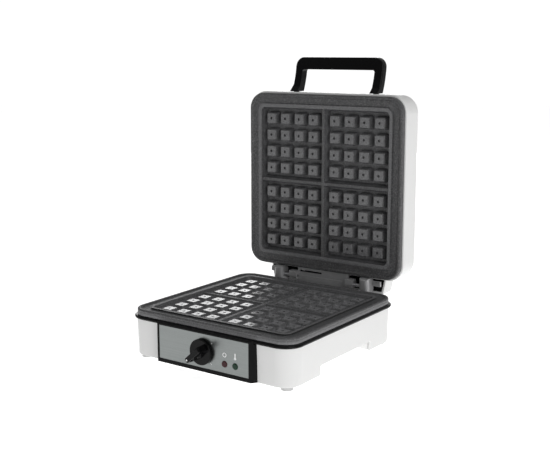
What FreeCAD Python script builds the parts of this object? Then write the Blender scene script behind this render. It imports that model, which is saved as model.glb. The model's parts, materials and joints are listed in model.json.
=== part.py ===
import FreeCAD, Part
import math
import os
import re

import Sketcher
from FreeCAD import Placement, Rotation, Vector

# A four-waffle iron: a base with the lower cooking plate and the controls, and a lid with the
# upper plate that swings on two hinge pins. It is drawn with the lid open and the knob at its
# lowest setting. X runs to the right, Y to the back and Z up from the table.
#
# Base pieces are drawn about the middle of the lower plate at table height. Lid pieces and
# front-panel pieces are drawn lying flat, face up, and then stood upright by their Placement,
# so that their own +Z points to the front and their own +Y points up.

DIMENSIONS = {
    # whole object
    "plate_setback": (-19, "plate middle, measured from the middle of the object's depth"),
    "tooth_plane": (63, "height of the lower plate's tooth tops"),
    "lid_tooth_plane": (139.6, "distance of the open lid's tooth tops behind the plate middle"),
    "lid_middle": (206.9, "height of the middle of the open lid"),
    "hinge_back": (138.5, "hinge axis behind the plate middle"),
    "hinge_height": (68.4, "height of the hinge axis"),
    # cooking plates
    "plate_width": (250, "outer width of a square cooking plate"),
    "plate_corner": (22, "corner radius of a plate"),
    "rim_rise": (3, "rim above the tooth tops"),
    "wall_drop": (5, "underside of the rim flange below the tooth tops"),
    "rim_round": (2, "rounding of the plate's outer edge"),
    "cavity_width": (210.8, "width of the batter cavity at the rim"),
    "cavity_corner": (7, "corner radius of the cavity"),
    "cavity_depth": (11, "cavity floor below the tooth tops"),
    "cavity_draft": (12.5, "draft of the cavity wall in degrees"),
    "pan_skin": (3, "metal under and around the cavity"),
    "channel_outer": (243, "outer width of the overflow channel"),
    "channel_inner": (221, "inner width of the overflow channel"),
    "channel_depth": (2, "depth of the overflow channel"),
    "channel_draft": (45, "slope of the channel's walls in degrees"),
    "channel_outer_corner": (18.5, "outer corner radius of the channel"),
    "channel_inner_corner": (12, "inner corner radius of the channel"),
    "web_under_boss": (1, "metal left between a boss and the cavity"),
    "tooth_pitch": (23.8, "distance between neighbouring teeth"),
    "first_tooth": (17.7, "first tooth from the middle divider"),
    "teeth_in_row": (4, "teeth along each side of one waffle"),
    "tooth_base": (19.4, "width of a tooth at the cavity floor"),
    "tooth_corner": (4, "corner radius of a tooth"),
    "tooth_draft": (9, "draft of a tooth in degrees"),
    "crown_rise": (1.2, "height of the bevelled crown of a tooth"),
    "crown_draft": (50, "slope of that bevel in degrees"),
    "dimple": (3.6, "diameter of the dimple in a tooth"),
    "dimple_depth": (2.2, "depth of that dimple"),
    "divider_top": (4, "width of a divider's top"),
    "divider_base": (11, "width of a divider's foot"),
    "divider_rise": (0.5, "divider above the tooth tops"),
    "boss_spread": (88, "plate bosses from the middle, both ways"),
    "boss_width": (10, "diameter of a plate boss"),
    "boss_drop": (24, "end of a plate boss below the tooth tops"),
    "boss_bore": (3.4, "diameter of the threaded hole in a boss"),
    # heating elements and reflectors
    "heater_width": (6.6, "diameter of the tubular heating element"),
    "heater_reach": (70, "element's run from the middle, both ways"),
    "heater_bend": (20, "bend radius of the element"),
    "heater_gap": (18, "element ends from the middle line"),
    "tab_length": (10, "length of a connection tab"),
    "tab_width": (6.3, "width of a connection tab"),
    "tab_skin": (0.8, "thickness of a connection tab"),
    "reflector_width": (212, "width of a heat reflector"),
    "reflector_corner": (12, "corner radius of a reflector"),
    "reflector_skin": (0.8, "sheet thickness of a reflector"),
    "reflector_lip": (6, "height of a reflector's turned-up edge"),
    "notch_width": (44, "width of the thermostat notch in the lower reflector"),
    "notch_depth": (24, "depth of that notch"),
    # base housing
    "housing_width": (252, "width of the base housing at its top"),
    "housing_corner": (24, "corner radius of the base housing"),
    "housing_top": (53.5, "height of the housing's top edge"),
    "housing_bottom": (5, "height of the housing's bottom edge"),
    "housing_draft": (1.7, "inward lean of the housing walls in degrees"),
    "housing_wall": (2.8, "wall thickness of the housing"),
    "deck_skin": (2.5, "thickness of the housing's top deck"),
    "deck_opening": (224, "width of the opening in the deck"),
    "deck_corner": (12, "corner radius of that opening"),
    "housing_round": (1.5, "rounding of the housing's bottom edge"),
    "gap_front": (60, "front end of the gap under the base, before the plate middle"),
    "gap_rear": (61, "rear end of the gap under the base, behind the plate middle"),
    "gap_height": (18, "top of the gap under the base"),
    "gap_round": (2.5, "rounding at the top corners of that gap"),
    "post_out": (114, "housing screw posts from the middle line"),
    "post_along": (80, "housing screw posts before and behind the plate middle"),
    "post_width": (9, "diameter of a housing screw post"),
    "post_bore": (2.8, "hole in a housing screw post"),
    "post_bore_length": (16, "depth of that hole"),
    "post_bottom": (8.2, "height of a post's lower end"),
    "window_width": (124, "width of the opening behind the bezel"),
    "window_low": (13, "lower edge of that opening"),
    "window_high": (47, "upper edge of that opening"),
    "pedestal_width": (190, "width of the hinge pedestal at the back of the housing"),
    "pedestal_back": (160, "back of the pedestal behind the plate middle"),
    "pedestal_front": (110, "front of the pedestal's block behind the plate middle"),
    "pedestal_top": (52, "height of the pedestal's top"),
    "pedestal_corner": (8, "corner radius of the pedestal"),
    # bottom cover and feet
    "cover_low": (5.6, "height of the cover's lower face"),
    "cover_skin": (2.5, "thickness of the bottom cover"),
    "cover_width": (241.6, "width of the bottom cover"),
    "cover_corner": (20, "corner radius of the bottom cover"),
    "cover_gap": (0.4, "clearance between the cover and the housing"),
    "foot_spread": (110, "feet from the middle, both ways"),
    "foot_width": (16, "diameter of a foot"),
    "foot_draft": (6, "inward lean of a foot's side in degrees"),
    "foot_stud": (6, "diameter of the stud that holds a foot"),
    "foot_stud_high": (9.4, "top of that stud"),
    "cover_screw_length": (14, "length of a cover screw under its head"),
    "standoff_width": (9, "outer diameter of a plate standoff"),
    "clear_bore": (4.4, "clearance hole for the long plate screws"),
    # trim ring
    "trim_width": (257, "outer width of the trim ring"),
    "trim_corner": (25, "corner radius of the trim ring"),
    "trim_skin": (4, "height of the trim ring"),
    "trim_round": (1.8, "rounding of the trim ring's lip"),
    "spigot_outer": (223.2, "outer width of the ring's locating spigot"),
    "spigot_inner": (220.2, "inner width of the locating spigot"),
    "spigot_drop": (3.5, "length of the locating spigot"),
    "spigot_corner": (11.6, "outer corner radius of the spigot"),
    "ring_corner": (10, "corner radius of the ring's opening"),
    # front panel
    "bezel_front": (132.8, "front face of the bezel before the plate middle"),
    "bezel_width": (144.8, "width of the bezel's front face"),
    "bezel_low": (6, "lower edge of the bezel"),
    "bezel_high": (57.2, "upper edge of the bezel"),
    "bezel_skin": (4, "depth of the bezel's part in front of the trim ring"),
    "bezel_back_high": (53, "upper edge of the bezel's rear frame"),
    "bezel_base_width": (155.2, "width of the bezel at the housing"),
    "bezel_depth": (6.8, "whole depth of the bezel at its top"),
    "panel_width": (140.6, "width of the recess that holds the steel panel"),
    "panel_low": (10.9, "lower edge of that recess"),
    "panel_high": (54.4, "upper edge of that recess"),
    "bezel_floor": (2, "thickness of the floor behind the panel"),
    "bezel_round": (0.8, "rounding of the bezel's front edge"),
    "panel_recess": (1.6, "depth of the recess that holds the steel panel"),
    "panel_skin": (0.8, "thickness of the steel panel"),
    "panel_slack": (0.25, "clearance round the steel panel"),
    "knob_height": (32, "height of the knob axis"),
    "shaft_hole": (8.6, "hole for the thermostat bush"),
    "lamp_hole": (8.5, "hole for a lamp lens"),
    "lamp_height": (22.3, "height of the lamps"),
    "power_lamp_out": (34, "power lamp from the middle line"),
    "ready_lamp_out": (50, "ready lamp from the middle line"),
    "lens_width": (8.2, "diameter of a lamp lens"),
    "lens_proud": (1, "lens in front of the panel"),
    "lens_flange": (11, "diameter of a lens flange"),
    "neon_width": (4, "diameter of a neon lamp"),
    "neon_length": (12, "length of a neon lamp"),
    "neon_round": (1.6, "rounding of a neon lamp's tip"),
    "holder_width": (34, "width of the lamp holder"),
    "holder_rise": (14, "height of the lamp holder"),
    "holder_depth": (9, "depth of the lamp holder"),
    "holder_gap": (1.4, "holder behind the bezel floor"),
    "flange_skin": (0.8, "thickness of a lens flange"),
    "neon_gap": (1.6, "neon lamp behind the bezel floor"),
    # thermostat and knob
    "thermostat_width": (26, "width and height of the thermostat"),
    "thermostat_depth": (24, "depth of the thermostat"),
    "case_corner": (2, "corner radius of the thermostat"),
    "bush_width": (8, "diameter of the thermostat bush"),
    "bush_length": (6, "length of the thermostat bush"),
    "shaft_bore": (6.1, "bore of the bush"),
    "shaft_width": (6, "diameter of the thermostat shaft"),
    "shaft_length": (28, "length of the thermostat shaft"),
    "shaft_gap": (0.5, "gap between the shaft's end and the end of the hub bore"),
    "shaft_spare": (4, "bore left behind the shaft's inner end"),
    "shaft_flat": (1.5, "depth of the flat on the shaft"),
    "flat_length": (10.5, "length of that flat"),
    "bracket_width": (50, "width of the thermostat bracket"),
    "bracket_rise": (30, "height of the thermostat bracket"),
    "bracket_skin": (1.5, "thickness of the thermostat bracket"),
    "bracket_corner": (3, "corner radius of the thermostat bracket"),
    "bracket_screw_head": (5.6, "diameter of a bracket screw's head"),
    "bracket_screw_length": (3, "length of a bracket screw under its head"),
    "bracket_screw_out": (20, "bracket screws from the middle line"),
    "knob_width": (32.6, "diameter of the knob's skirt"),
    "knob_gap": (1.2, "knob in front of the steel panel"),
    "knob_skirt": (4.3, "height of the knob's skirt"),
    "knob_skirt_round": (1, "rounding of the skirt's front edge"),
    "knob_boss": (15, "diameter of the hub's boss at its foot"),
    "knob_boss_draft": (14, "draft of that boss in degrees"),
    "knob_dome": (11, "top of the hub's boss"),
    "knob_dome_round": (2, "rounding of that boss"),
    "knob_bar_width": (8.4, "width of the grip bar"),
    "knob_bar_tip": (15.4, "pointer end of the grip bar from the axis"),
    "knob_bar_tail": (13.4, "plain end of the grip bar from the axis"),
    "knob_bar_nose": (2, "length of the pointer's narrowed nose"),
    "knob_bar_sunk": (1, "start of the grip bar inside the skirt"),
    "knob_bar_draft": (3, "draft of the grip bar in degrees"),
    "knob_bar_top": (20, "top of the grip bar"),
    "knob_bar_round": (1.4, "rounding of the grip bar"),
    "knob_turn": (132, "rest direction of the pointer, left of straight up, in degrees"),
    "knob_hub": (12.5, "depth of the hub bore"),
    "hub_slack": (0.1, "clearance on the diameter of the hub bore"),
    "clip_start": (4, "start of the spring clip in the hub bore"),
    "clip_width": (3.2, "width of the spring clip"),
    "clip_skin": (0.6, "thickness of the spring clip"),
    "marker_width": (2.4, "diameter of the white marker"),
    "marker_depth": (0.8, "depth of the marker"),
    "marker_out": (11.6, "marker from the knob axis"),
    # lid housing
    "lid_rim_width": (254.8, "width of the lid housing's rim"),
    "lid_rim_depth": (5.9, "depth of that rim"),
    "lid_width": (253.6, "width of the lid housing behind the rim"),
    "lid_corner": (24.4, "corner radius of the lid housing"),
    "lid_depth": (41.4, "whole depth of the lid housing"),
    "lid_draft": (1, "inward lean of the lid walls in degrees"),
    "lid_round": (10, "rounding of the lid's back edge"),
    "lid_hollow_width": (246.4, "width of the hollow in the lid"),
    "lid_hollow_corner": (21.4, "corner radius of that hollow"),
    "lid_skin": (3, "thickness of the lid's back"),
    "lid_inner_round": (7, "rounding inside the lid's back edge"),
    "rim_edge_round": (1.2, "rounding of the rim's edges"),
    # handle
    "handle_back": (170, "foot of the handle behind the plate middle"),
    "handle_width": (144, "outer width of the handle"),
    "grip_opening": (119, "width between the handle's legs"),
    "handle_rise": (48.7, "height of the handle over the lid"),
    "handle_swing": (7.5, "top of the legs' middle line behind the feet's"),
    "grip_clear": (31.3, "height of the finger opening"),
    "handle_curve": (114.6, "radius of the leg's backward curve"),
    "handle_depth": (12.5, "depth of the handle's section"),
    "handle_corner": (13.5, "radius of the handle's upper corners"),
    "grip_corner": (3, "radius of the finger opening's corners"),
    "handle_toe": (8, "toe of a leg before the foot's middle"),
    "handle_toe_rise": (7, "height of that toe"),
    "handle_round": (2.2, "rounding of the handle's edges"),
    "leg_out": (65.75, "middle of a leg from the middle line"),
    "leg_stud": (8, "diameter of the stud under a leg"),
    "leg_stud_drop": (7, "length of that stud"),
    "stud_slack": (0.2, "clearance round a stud"),
    # hinge
    "tower_inner": (64.5, "inner side of a hinge tower from the middle line"),
    "column_outer": (79.5, "outer side of the tower's column"),
    "tower_outer": (92, "outer end of the tower's stud flange and foot plate"),
    "ear_front": (6, "front of the stud flange behind the hinge axis"),
    "ear_low": (0.6, "underside of the stud flange over the axis"),
    "ear_top": (7.6, "top of the stud flange over the axis"),
    "tower_front": (7.9, "tower's front face before the hinge axis"),
    "tower_rear": (9.5, "tower's rear face behind the hinge axis"),
    "tower_round": (12.4, "radius of the tower's head about the hinge axis"),
    "tower_corner": (6, "rounding of the tower's upright corners"),
    "tower_foot": (3, "thickness of the tower's foot plate"),
    "tower_foot_back": (156, "rear edge of the foot plate behind the plate middle"),
    "pin_width": (5, "diameter of a hinge pin"),
    "pin_inner": (45.5, "inner end of a hinge pin from the middle line"),
    "pin_outer": (77, "outer end of a hinge pin"),
    "pin_slack": (0.1, "running clearance on the diameter in the lid's lugs"),
    "lug_width": (9, "diameter of a lug"),
    "lug_top": (7.4, "top of a lug's block over the axis"),
    "lug_inner": (41, "inner side of a lug"),
    "lug_outer": (54, "outer side of a lug"),
    "web_half": (42.5, "half width of the lid's hinge plate"),
    "web_front": (2.5, "front face of the hinge plate behind the axis"),
    "web_skin": (3, "thickness of the hinge plate"),
    "web_step": (1.3, "lower part of the hinge plate in front of its upper part"),
    "web_step_height": (1.8, "height of that step over the axis"),
    "web_step_slope": (0.6, "height of the step's bevel"),
    "web_low": (7.4, "hinge plate's lower end below the axis"),
    "web_top": (13, "hinge plate's upper end over the axis"),
    "flange_back": (13, "back of the hinge plate's flange behind the axis"),
    "flange_low": (9.5, "underside of the flange over the axis"),
    "flange_top": (11, "top of the flange over the axis"),
    "slot_left": (40, "left end of the cable slot"),
    "slot_right": (2, "right end of the cable slot"),
    "slot_low": (6.4, "lower edge of the cable slot over the axis"),
    "slot_high": (9.2, "upper edge of the cable slot over the axis"),
    "stud_head": (4.2, "diameter of a tower stud's head"),
    "stud_first": (82.6, "first tower stud from the middle line"),
    "stud_second": (88.4, "second tower stud from the middle line"),
    "stud_rise": (4.6, "tower studs over the hinge axis"),
    "stud_proud": (0.8, "stud heads in front of the tower's face"),
    "stud_length": (3.2, "length of a tower stud"),
    "foot_screw": (4, "diameter of a foot-plate screw"),
    "foot_screw_length": (12, "length of a foot-plate screw under its head"),
    "foot_screw_inner": (70.5, "inner foot-plate screw from the middle line"),
    "foot_screw_outer": (86, "outer foot-plate screw from the middle line"),
    "foot_screw_back": (152, "foot-plate screws behind the plate middle"),
    "hood_top_half": (97, "half width of the hinge hood at the lid"),
    "hood_low_half": (92.5, "half width of the hood at its lower end"),
    "hood_front": (14.2, "front of the hood behind the axis"),
    "hood_back": (38, "back of the hood behind the axis"),
    "hood_low": (11.2, "hood's lower end below the axis"),
    "hood_top": (11.6, "hood's upper end over the axis"),
    "hood_skin": (2.4, "wall of the hood"),
    "hood_round": (5, "rounding of the hood's lower rear edge"),
    "hood_panel_front": (15.4, "front of the hood's inner panel behind the axis"),
    "hood_panel_skin": (1.2, "thickness of the hood's inner panel"),
    "hood_panel_gap": (0.2, "clearance round the hood's inner panel"),
    # screws and small inner pieces
    "screw_head": (6.8, "diameter of a screw head"),
    "screw_head_rise": (2.2, "height of a screw head"),
    "small_screw_head": (5.8, "diameter of a small screw's head"),
    "low_head_rise": (1.4, "height of a low screw head"),
    "screw_slot": (1, "width of a screw's slot"),
    "screw_in_boss": (6, "length of a plate screw inside its boss"),
    "reflector_screw_length": (8, "length of a reflector screw under its head"),
    "hinge_screw_length": (5, "length of a hinge plate screw under its head"),
    "hinge_screw_step": (36, "distance between the hinge plate's screws"),
    "hood_screw_out": (70, "hood screws from the middle line"),
    "block_width": (34, "width of the terminal block"),
    "block_depth": (16, "depth of the terminal block"),
    "block_rise": (15, "height of the terminal block"),
    "block_corner": (1.5, "corner radius of the terminal block"),
    "block_pitch": (10.2, "distance between the block's terminals"),
    "wire_bore": (4, "diameter of a wire hole in the block"),
    "wire_height": (6, "height of the wire holes in the block"),
    "screw_well": (5, "diameter of a screw well in the block"),
    "well_depth": (4.5, "depth of a screw well"),
    "block_left": (38, "terminal block left of the middle line"),
    "block_back": (98, "terminal block behind the plate middle"),
    "gland_left": (60, "cord gland left of the middle line"),
    "gland_height": (26, "height of the cord gland"),
    "gland_width": (15, "outer diameter of the cord gland"),
    "gland_bore": (7.4, "bore of the cord gland"),
    "gland_proud": (9, "gland behind the pedestal"),
    "gland_neck": (12, "diameter of the gland's neck"),
    "gland_inside": (2, "length of the neck inside the pedestal's wall"),
    "gland_draft": (5, "draft of the gland's outer part in degrees"),
    "fuse_width": (4, "diameter of the thermal fuse"),
    "fuse_back": (20, "thermal fuse behind the plate middle"),
    "fuse_length": (16, "length of the thermal fuse"),
}

EXPRESSION_WORDS = {"sin", "cos", "tan", "sqrt", "deg", "mm"}

document = FreeCAD.newDocument("WaffleMaker")
sheet = document.addObject("Spreadsheet::Sheet", "Params")
for row, (alias, (number, meaning)) in enumerate(DIMENSIONS.items(), start=1):
    sheet.set(f"A{row}", alias)
    sheet.set(f"B{row}", str(number))
    sheet.setAlias(f"B{row}", alias)
    sheet.set(f"C{row}", meaning)
document.recompute()

sub_parts = []


# ---------------------------------------------------------------- expressions and placement

def from_sheet(text):
    """Turns each alias in an expression into a reference to the spreadsheet."""

    def reference(found):
        word = found.group()
        if word in EXPRESSION_WORDS:
            return word
        if word not in DIMENSIONS:
            raise KeyError(f"no dimension is called {word}")
        return f"Params.{word}"

    return re.sub(r"[a-z][a-z_]+", reference, text)


def size_of(text):
    """Works an expression out as a plain number."""
    result = sheet.evalExpression(from_sheet(text))
    return float(getattr(result, "Value", result))


def follow(item, setting, text):
    """Binds one property of an object to an expression."""
    item.setExpression(setting, from_sheet(text))


def stand(item, x, y, z, rotation=None):
    """Places a sub-part: x from the middle line, y from the plate middle, z from the table."""
    item.Placement = Placement(Vector(), rotation or Rotation())
    follow(item, ".Placement.Base.x", x)
    follow(item, ".Placement.Base.y", f"{y} + plate_setback")
    follow(item, ".Placement.Base.z", z)


UPRIGHT = Rotation(Vector(1, 0, 0), 90)


# ---------------------------------------------------------------- sketches

def origin_plane(body, role):
    for feature in body.Origin.OriginFeatures:
        if feature.Role == role:
            return feature
    raise ValueError(role)


def new_body(label):
    body = document.addObject("PartDesign::Body", label)
    body.Label = label
    sub_parts.append(body)
    return body


def new_sketch(body, name, plane="XY_Plane", level="0"):
    """A sketch on one of the body's own planes, moved along that plane's normal."""
    sketch = body.newObject("Sketcher::SketchObject", name)
    sketch.AttachmentSupport = (origin_plane(body, plane), [""])
    sketch.MapMode = "FlatFace"
    follow(sketch, ".AttachmentOffset.Base.z", level)
    return sketch


def dimension(sketch, kind, places, text):
    """Adds a driving dimension whose value follows an expression."""
    index = sketch.addConstraint(Sketcher.Constraint(kind, *places, size_of(text)))
    follow(sketch, f"Constraints[{index}]", text)


def locate(sketch, geometry, vertex, x, y):
    """Fixes a vertex at x and y from the sketch origin."""
    dimension(sketch, "DistanceX", (-1, 1, geometry, vertex), x)
    dimension(sketch, "DistanceY", (-1, 1, geometry, vertex), y)


def draw_polygon(sketch, corners):
    """A closed outline of straight sides; each corner is a pair of expressions."""
    first = sketch.GeometryCount
    points = [Vector(size_of(x), size_of(y), 0) for x, y in corners]
    count = len(points)
    for index in range(count):
        sketch.addGeometry(Part.LineSegment(points[index], points[(index + 1) % count]), False)
    for index in range(count):
        following = first + (index + 1) % count
        sketch.addConstraint(Sketcher.Constraint("Coincident", first + index, 2, following, 1))
    for index, (x, y) in enumerate(corners):
        locate(sketch, first + index, 1, x, y)


def draw_rectangle(sketch, left, right, low, high):
    draw_polygon(sketch, [(left, low), (right, low), (right, high), (left, high)])


def draw_round_rectangle(sketch, width, depth, corner, x="0", y="0"):
    """A rectangle with four equal round corners, centred on x and y."""
    half_width = size_of(width) / 2
    half_depth = size_of(depth) / 2
    radius = size_of(corner)
    middle = Vector(size_of(x), size_of(y), 0)
    first = sketch.GeometryCount
    for quarter, (side_x, side_y) in enumerate(((1, -1), (1, 1), (-1, 1), (-1, -1))):
        centre = middle + Vector(side_x * (half_width - radius), side_y * (half_depth - radius), 0)
        start_angle = (quarter - 1) * math.pi / 2
        circle = Part.Circle(centre, Vector(0, 0, 1), radius)
        sketch.addGeometry(Part.ArcOfCircle(circle, start_angle, start_angle + math.pi / 2), False)
    arcs = [first + quarter for quarter in range(4)]
    lines = []
    for quarter in range(4):
        this_arc = sketch.Geometry[arcs[quarter]]
        next_arc = sketch.Geometry[arcs[(quarter + 1) % 4]]
        line = Part.LineSegment(this_arc.EndPoint, next_arc.StartPoint)
        lines.append(sketch.addGeometry(line, False))
    for quarter in range(4):
        following = arcs[(quarter + 1) % 4]
        sketch.addConstraint(Sketcher.Constraint("Tangent", arcs[quarter], 2, lines[quarter], 1))
        sketch.addConstraint(Sketcher.Constraint("Tangent", lines[quarter], 2, following, 1))
        direction = "Vertical" if quarter % 2 == 0 else "Horizontal"
        sketch.addConstraint(Sketcher.Constraint(direction, lines[quarter]))
    for quarter in range(1, 4):
        sketch.addConstraint(Sketcher.Constraint("Equal", arcs[0], arcs[quarter]))
    dimension(sketch, "Radius", (arcs[0],), corner)
    dimension(sketch, "DistanceX", (lines[2], 1, lines[0], 1), width)
    dimension(sketch, "DistanceY", (lines[3], 1, lines[1], 1), depth)
    dimension(sketch, "DistanceX", (-1, 1, lines[0], 1), f"{x} + ({width}) / 2")
    dimension(sketch, "DistanceY", (-1, 1, lines[1], 1), f"{y} + ({depth}) / 2")


def draw_circle(sketch, diameter, x="0", y="0"):
    centre = Vector(size_of(x), size_of(y), 0)
    circle = Part.Circle(centre, Vector(0, 0, 1), size_of(diameter) / 2)
    index = sketch.addGeometry(circle, False)
    dimension(sketch, "Diameter", (index,), diameter)
    locate(sketch, index, 3, x, y)


def draw_four_circles(sketch, diameter, x, y):
    for side_x in ("", "-"):
        for side_y in ("", "-"):
            draw_circle(sketch, diameter, f"{side_x}{x}", f"{side_y}{y}")


# ---------------------------------------------------------------- features

def pad(body, sketch, length, draft="0", down=False, middle=False):
    """Adds material along the sketch's normal; a positive draft narrows it as it goes."""
    feature = body.newObject("PartDesign::Pad", f"{sketch.Name}_pad")
    feature.Profile = sketch
    follow(feature, "Length", length)
    if draft != "0":
        follow(feature, "TaperAngle", f"-({draft})")
    feature.Reversed = down
    if middle:
        feature.SideType = "Symmetric"
    sketch.Visibility = False
    document.recompute()
    return feature


def pocket(body, sketch, length, draft="0", up=False, middle=False):
    """Removes material against the sketch's normal; a positive draft narrows it as it goes."""
    before = body.Tip.Shape.Volume
    feature = body.newObject("PartDesign::Pocket", f"{sketch.Name}_pocket")
    feature.Profile = sketch
    follow(feature, "Length", length)
    if draft != "0":
        follow(feature, "TaperAngle", f"-({draft})")
    feature.Reversed = up
    if middle:
        feature.SideType = "Symmetric"
    sketch.Visibility = False
    document.recompute()
    if feature.Shape.Volume >= before:
        raise RuntimeError(f"{feature.Name} of {body.Label} cut nothing")
    return feature


def chosen_edges(shape, wanted):
    return [f"Edge{number}" for number, edge in enumerate(shape.Edges, start=1) if wanted(edge)]


def fillet(body, name, radius, wanted):
    """Rounds the edges of the body so far that pass a test."""
    base = body.Tip
    names = chosen_edges(base.Shape, wanted)
    if not names:
        raise RuntimeError(f"{name} of {body.Label} found no edges")
    feature = body.newObject("PartDesign::Fillet", name)
    feature.Base = (base, names)
    follow(feature, "Radius", radius)
    document.recompute()
    return feature


def near(number, target, slack=0.05):
    return abs(number - target) < slack


def flat_at(edge, level):
    """True for an edge that lies wholly at one level."""
    return near(edge.BoundBox.ZMin, level) and near(edge.BoundBox.ZMax, level)


def reach(edge):
    """The farthest that an edge gets from the middle lines."""
    box = edge.BoundBox
    return max(abs(box.XMin), abs(box.XMax), abs(box.YMin), abs(box.YMax))


def outline_at(level, width):
    """A test for the edges of a centred square outline at one level."""

    def wanted(edge):
        if not flat_at(edge, size_of(level)):
            return False
        middle = edge.valueAt((edge.FirstParameter + edge.LastParameter) / 2)
        half = size_of(width) / 2
        furthest = max(abs(middle.x), abs(middle.y))
        return near(reach(edge), half, 0.3) and furthest > half * 0.9

    return wanted


def upright(edge):
    """True for an edge parallel to Z."""
    box = edge.BoundBox
    return near(box.XLength, 0) and near(box.YLength, 0) and box.ZLength > 0.1


# ---------------------------------------------------------------- cooking plates

def cooking_plate(label):
    """A cast plate: rim flange, pan, batter cavity, four grids of teeth and four bosses."""
    plate = new_body(label)
    flange = new_sketch(plate, "flange", level="-wall_drop")
    draw_round_rectangle(flange, "plate_width", "plate_width", "plate_corner")
    pad(plate, flange, "wall_drop + rim_rise")
    fillet(plate, "rim_edge", "rim_round", outline_at("rim_rise", "plate_width"))

    pan = new_sketch(plate, "pan", level="-wall_drop")
    pan_width = "cavity_width + 2 * pan_skin"
    draw_round_rectangle(pan, pan_width, pan_width, "cavity_corner + pan_skin")
    pad(plate, pan, "cavity_depth + pan_skin - wall_drop", draft="cavity_draft", down=True)

    cavity = new_sketch(plate, "cavity", level="rim_rise")
    draw_round_rectangle(cavity, "cavity_width", "cavity_width", "cavity_corner")
    pocket(plate, cavity, "cavity_depth + rim_rise", draft="cavity_draft")
    fillet(plate, "cavity_edge", "rim_round / 2", outline_at("rim_rise", "cavity_width"))

    channel = new_sketch(plate, "channel", level="rim_rise")
    draw_round_rectangle(channel, "channel_outer", "channel_outer", "channel_outer_corner")
    draw_round_rectangle(channel, "channel_inner", "channel_inner", "channel_inner_corner")
    pocket(plate, channel, "channel_depth", draft="channel_draft")

    across = new_sketch(plate, "divider_across", plane="YZ_Plane")
    along = new_sketch(plate, "divider_along", plane="XZ_Plane")
    divider = [
        ("-divider_base / 2", "-cavity_depth"),
        ("divider_base / 2", "-cavity_depth"),
        ("divider_top / 2", "divider_rise"),
        ("-divider_top / 2", "divider_rise"),
    ]
    for sketch in (across, along):
        draw_polygon(sketch, divider)
        pad(plate, sketch, "cavity_width", middle=True)

    bosses = new_sketch(plate, "bosses", level="-boss_drop")
    draw_four_circles(bosses, "boss_width", "boss_spread", "boss_spread")
    pad(plate, bosses, "boss_drop - cavity_depth - web_under_boss")
    holes = new_sketch(plate, "boss_holes", level="-boss_drop")
    draw_four_circles(holes, "boss_bore", "boss_spread", "boss_spread")
    pocket(plate, holes, "boss_drop - cavity_depth - pan_skin", up=True)

    tooth = new_sketch(plate, "tooth", level="-cavity_depth")
    draw_round_rectangle(tooth, "tooth_base", "tooth_base", "tooth_corner", "first_tooth", "first_tooth")
    shank_rise = "(cavity_depth - crown_rise)"
    tooth_pad = pad(plate, tooth, shank_rise, draft="tooth_draft")
    crown = new_sketch(plate, "crown", level="-crown_rise")
    lean = f"{shank_rise} * tan(tooth_draft * 1 deg)"
    crown_width = f"tooth_base - 2 * {lean}"
    draw_round_rectangle(crown, crown_width, crown_width, f"tooth_corner - {lean}",
                         "first_tooth", "first_tooth")
    crown_pad = pad(plate, crown, "crown_rise", draft="crown_draft")
    dimple = new_sketch(plate, "dimple")
    draw_circle(dimple, "dimple", "first_tooth", "first_tooth")
    dimple_pocket = pocket(plate, dimple, "dimple_depth")
    teeth = plate.newObject("PartDesign::MultiTransform", "teeth")
    teeth.Originals = [tooth_pad, crown_pad, dimple_pocket]
    steps = []
    for name, axis in (("row", "H_Axis"), ("column", "V_Axis")):
        pattern = document.addObject("PartDesign::LinearPattern", f"{label}_tooth_{name}")
        plate.addObject(pattern)
        pattern.Direction = (tooth, [axis])
        follow(pattern, "Occurrences", "teeth_in_row")
        follow(pattern, "Length", "(teeth_in_row - 1) * tooth_pitch")
        steps.append(pattern)
    for name, axis in (("left", "V_Axis"), ("front", "H_Axis")):
        mirror = document.addObject("PartDesign::Mirrored", f"{label}_tooth_{name}")
        plate.addObject(mirror)
        mirror.MirrorPlane = (tooth, [axis])
        steps.append(mirror)
    teeth.Transformations = steps
    plate.Tip = teeth
    document.recompute()
    return plate


# ---------------------------------------------------------------- heating elements and reflectors

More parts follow.
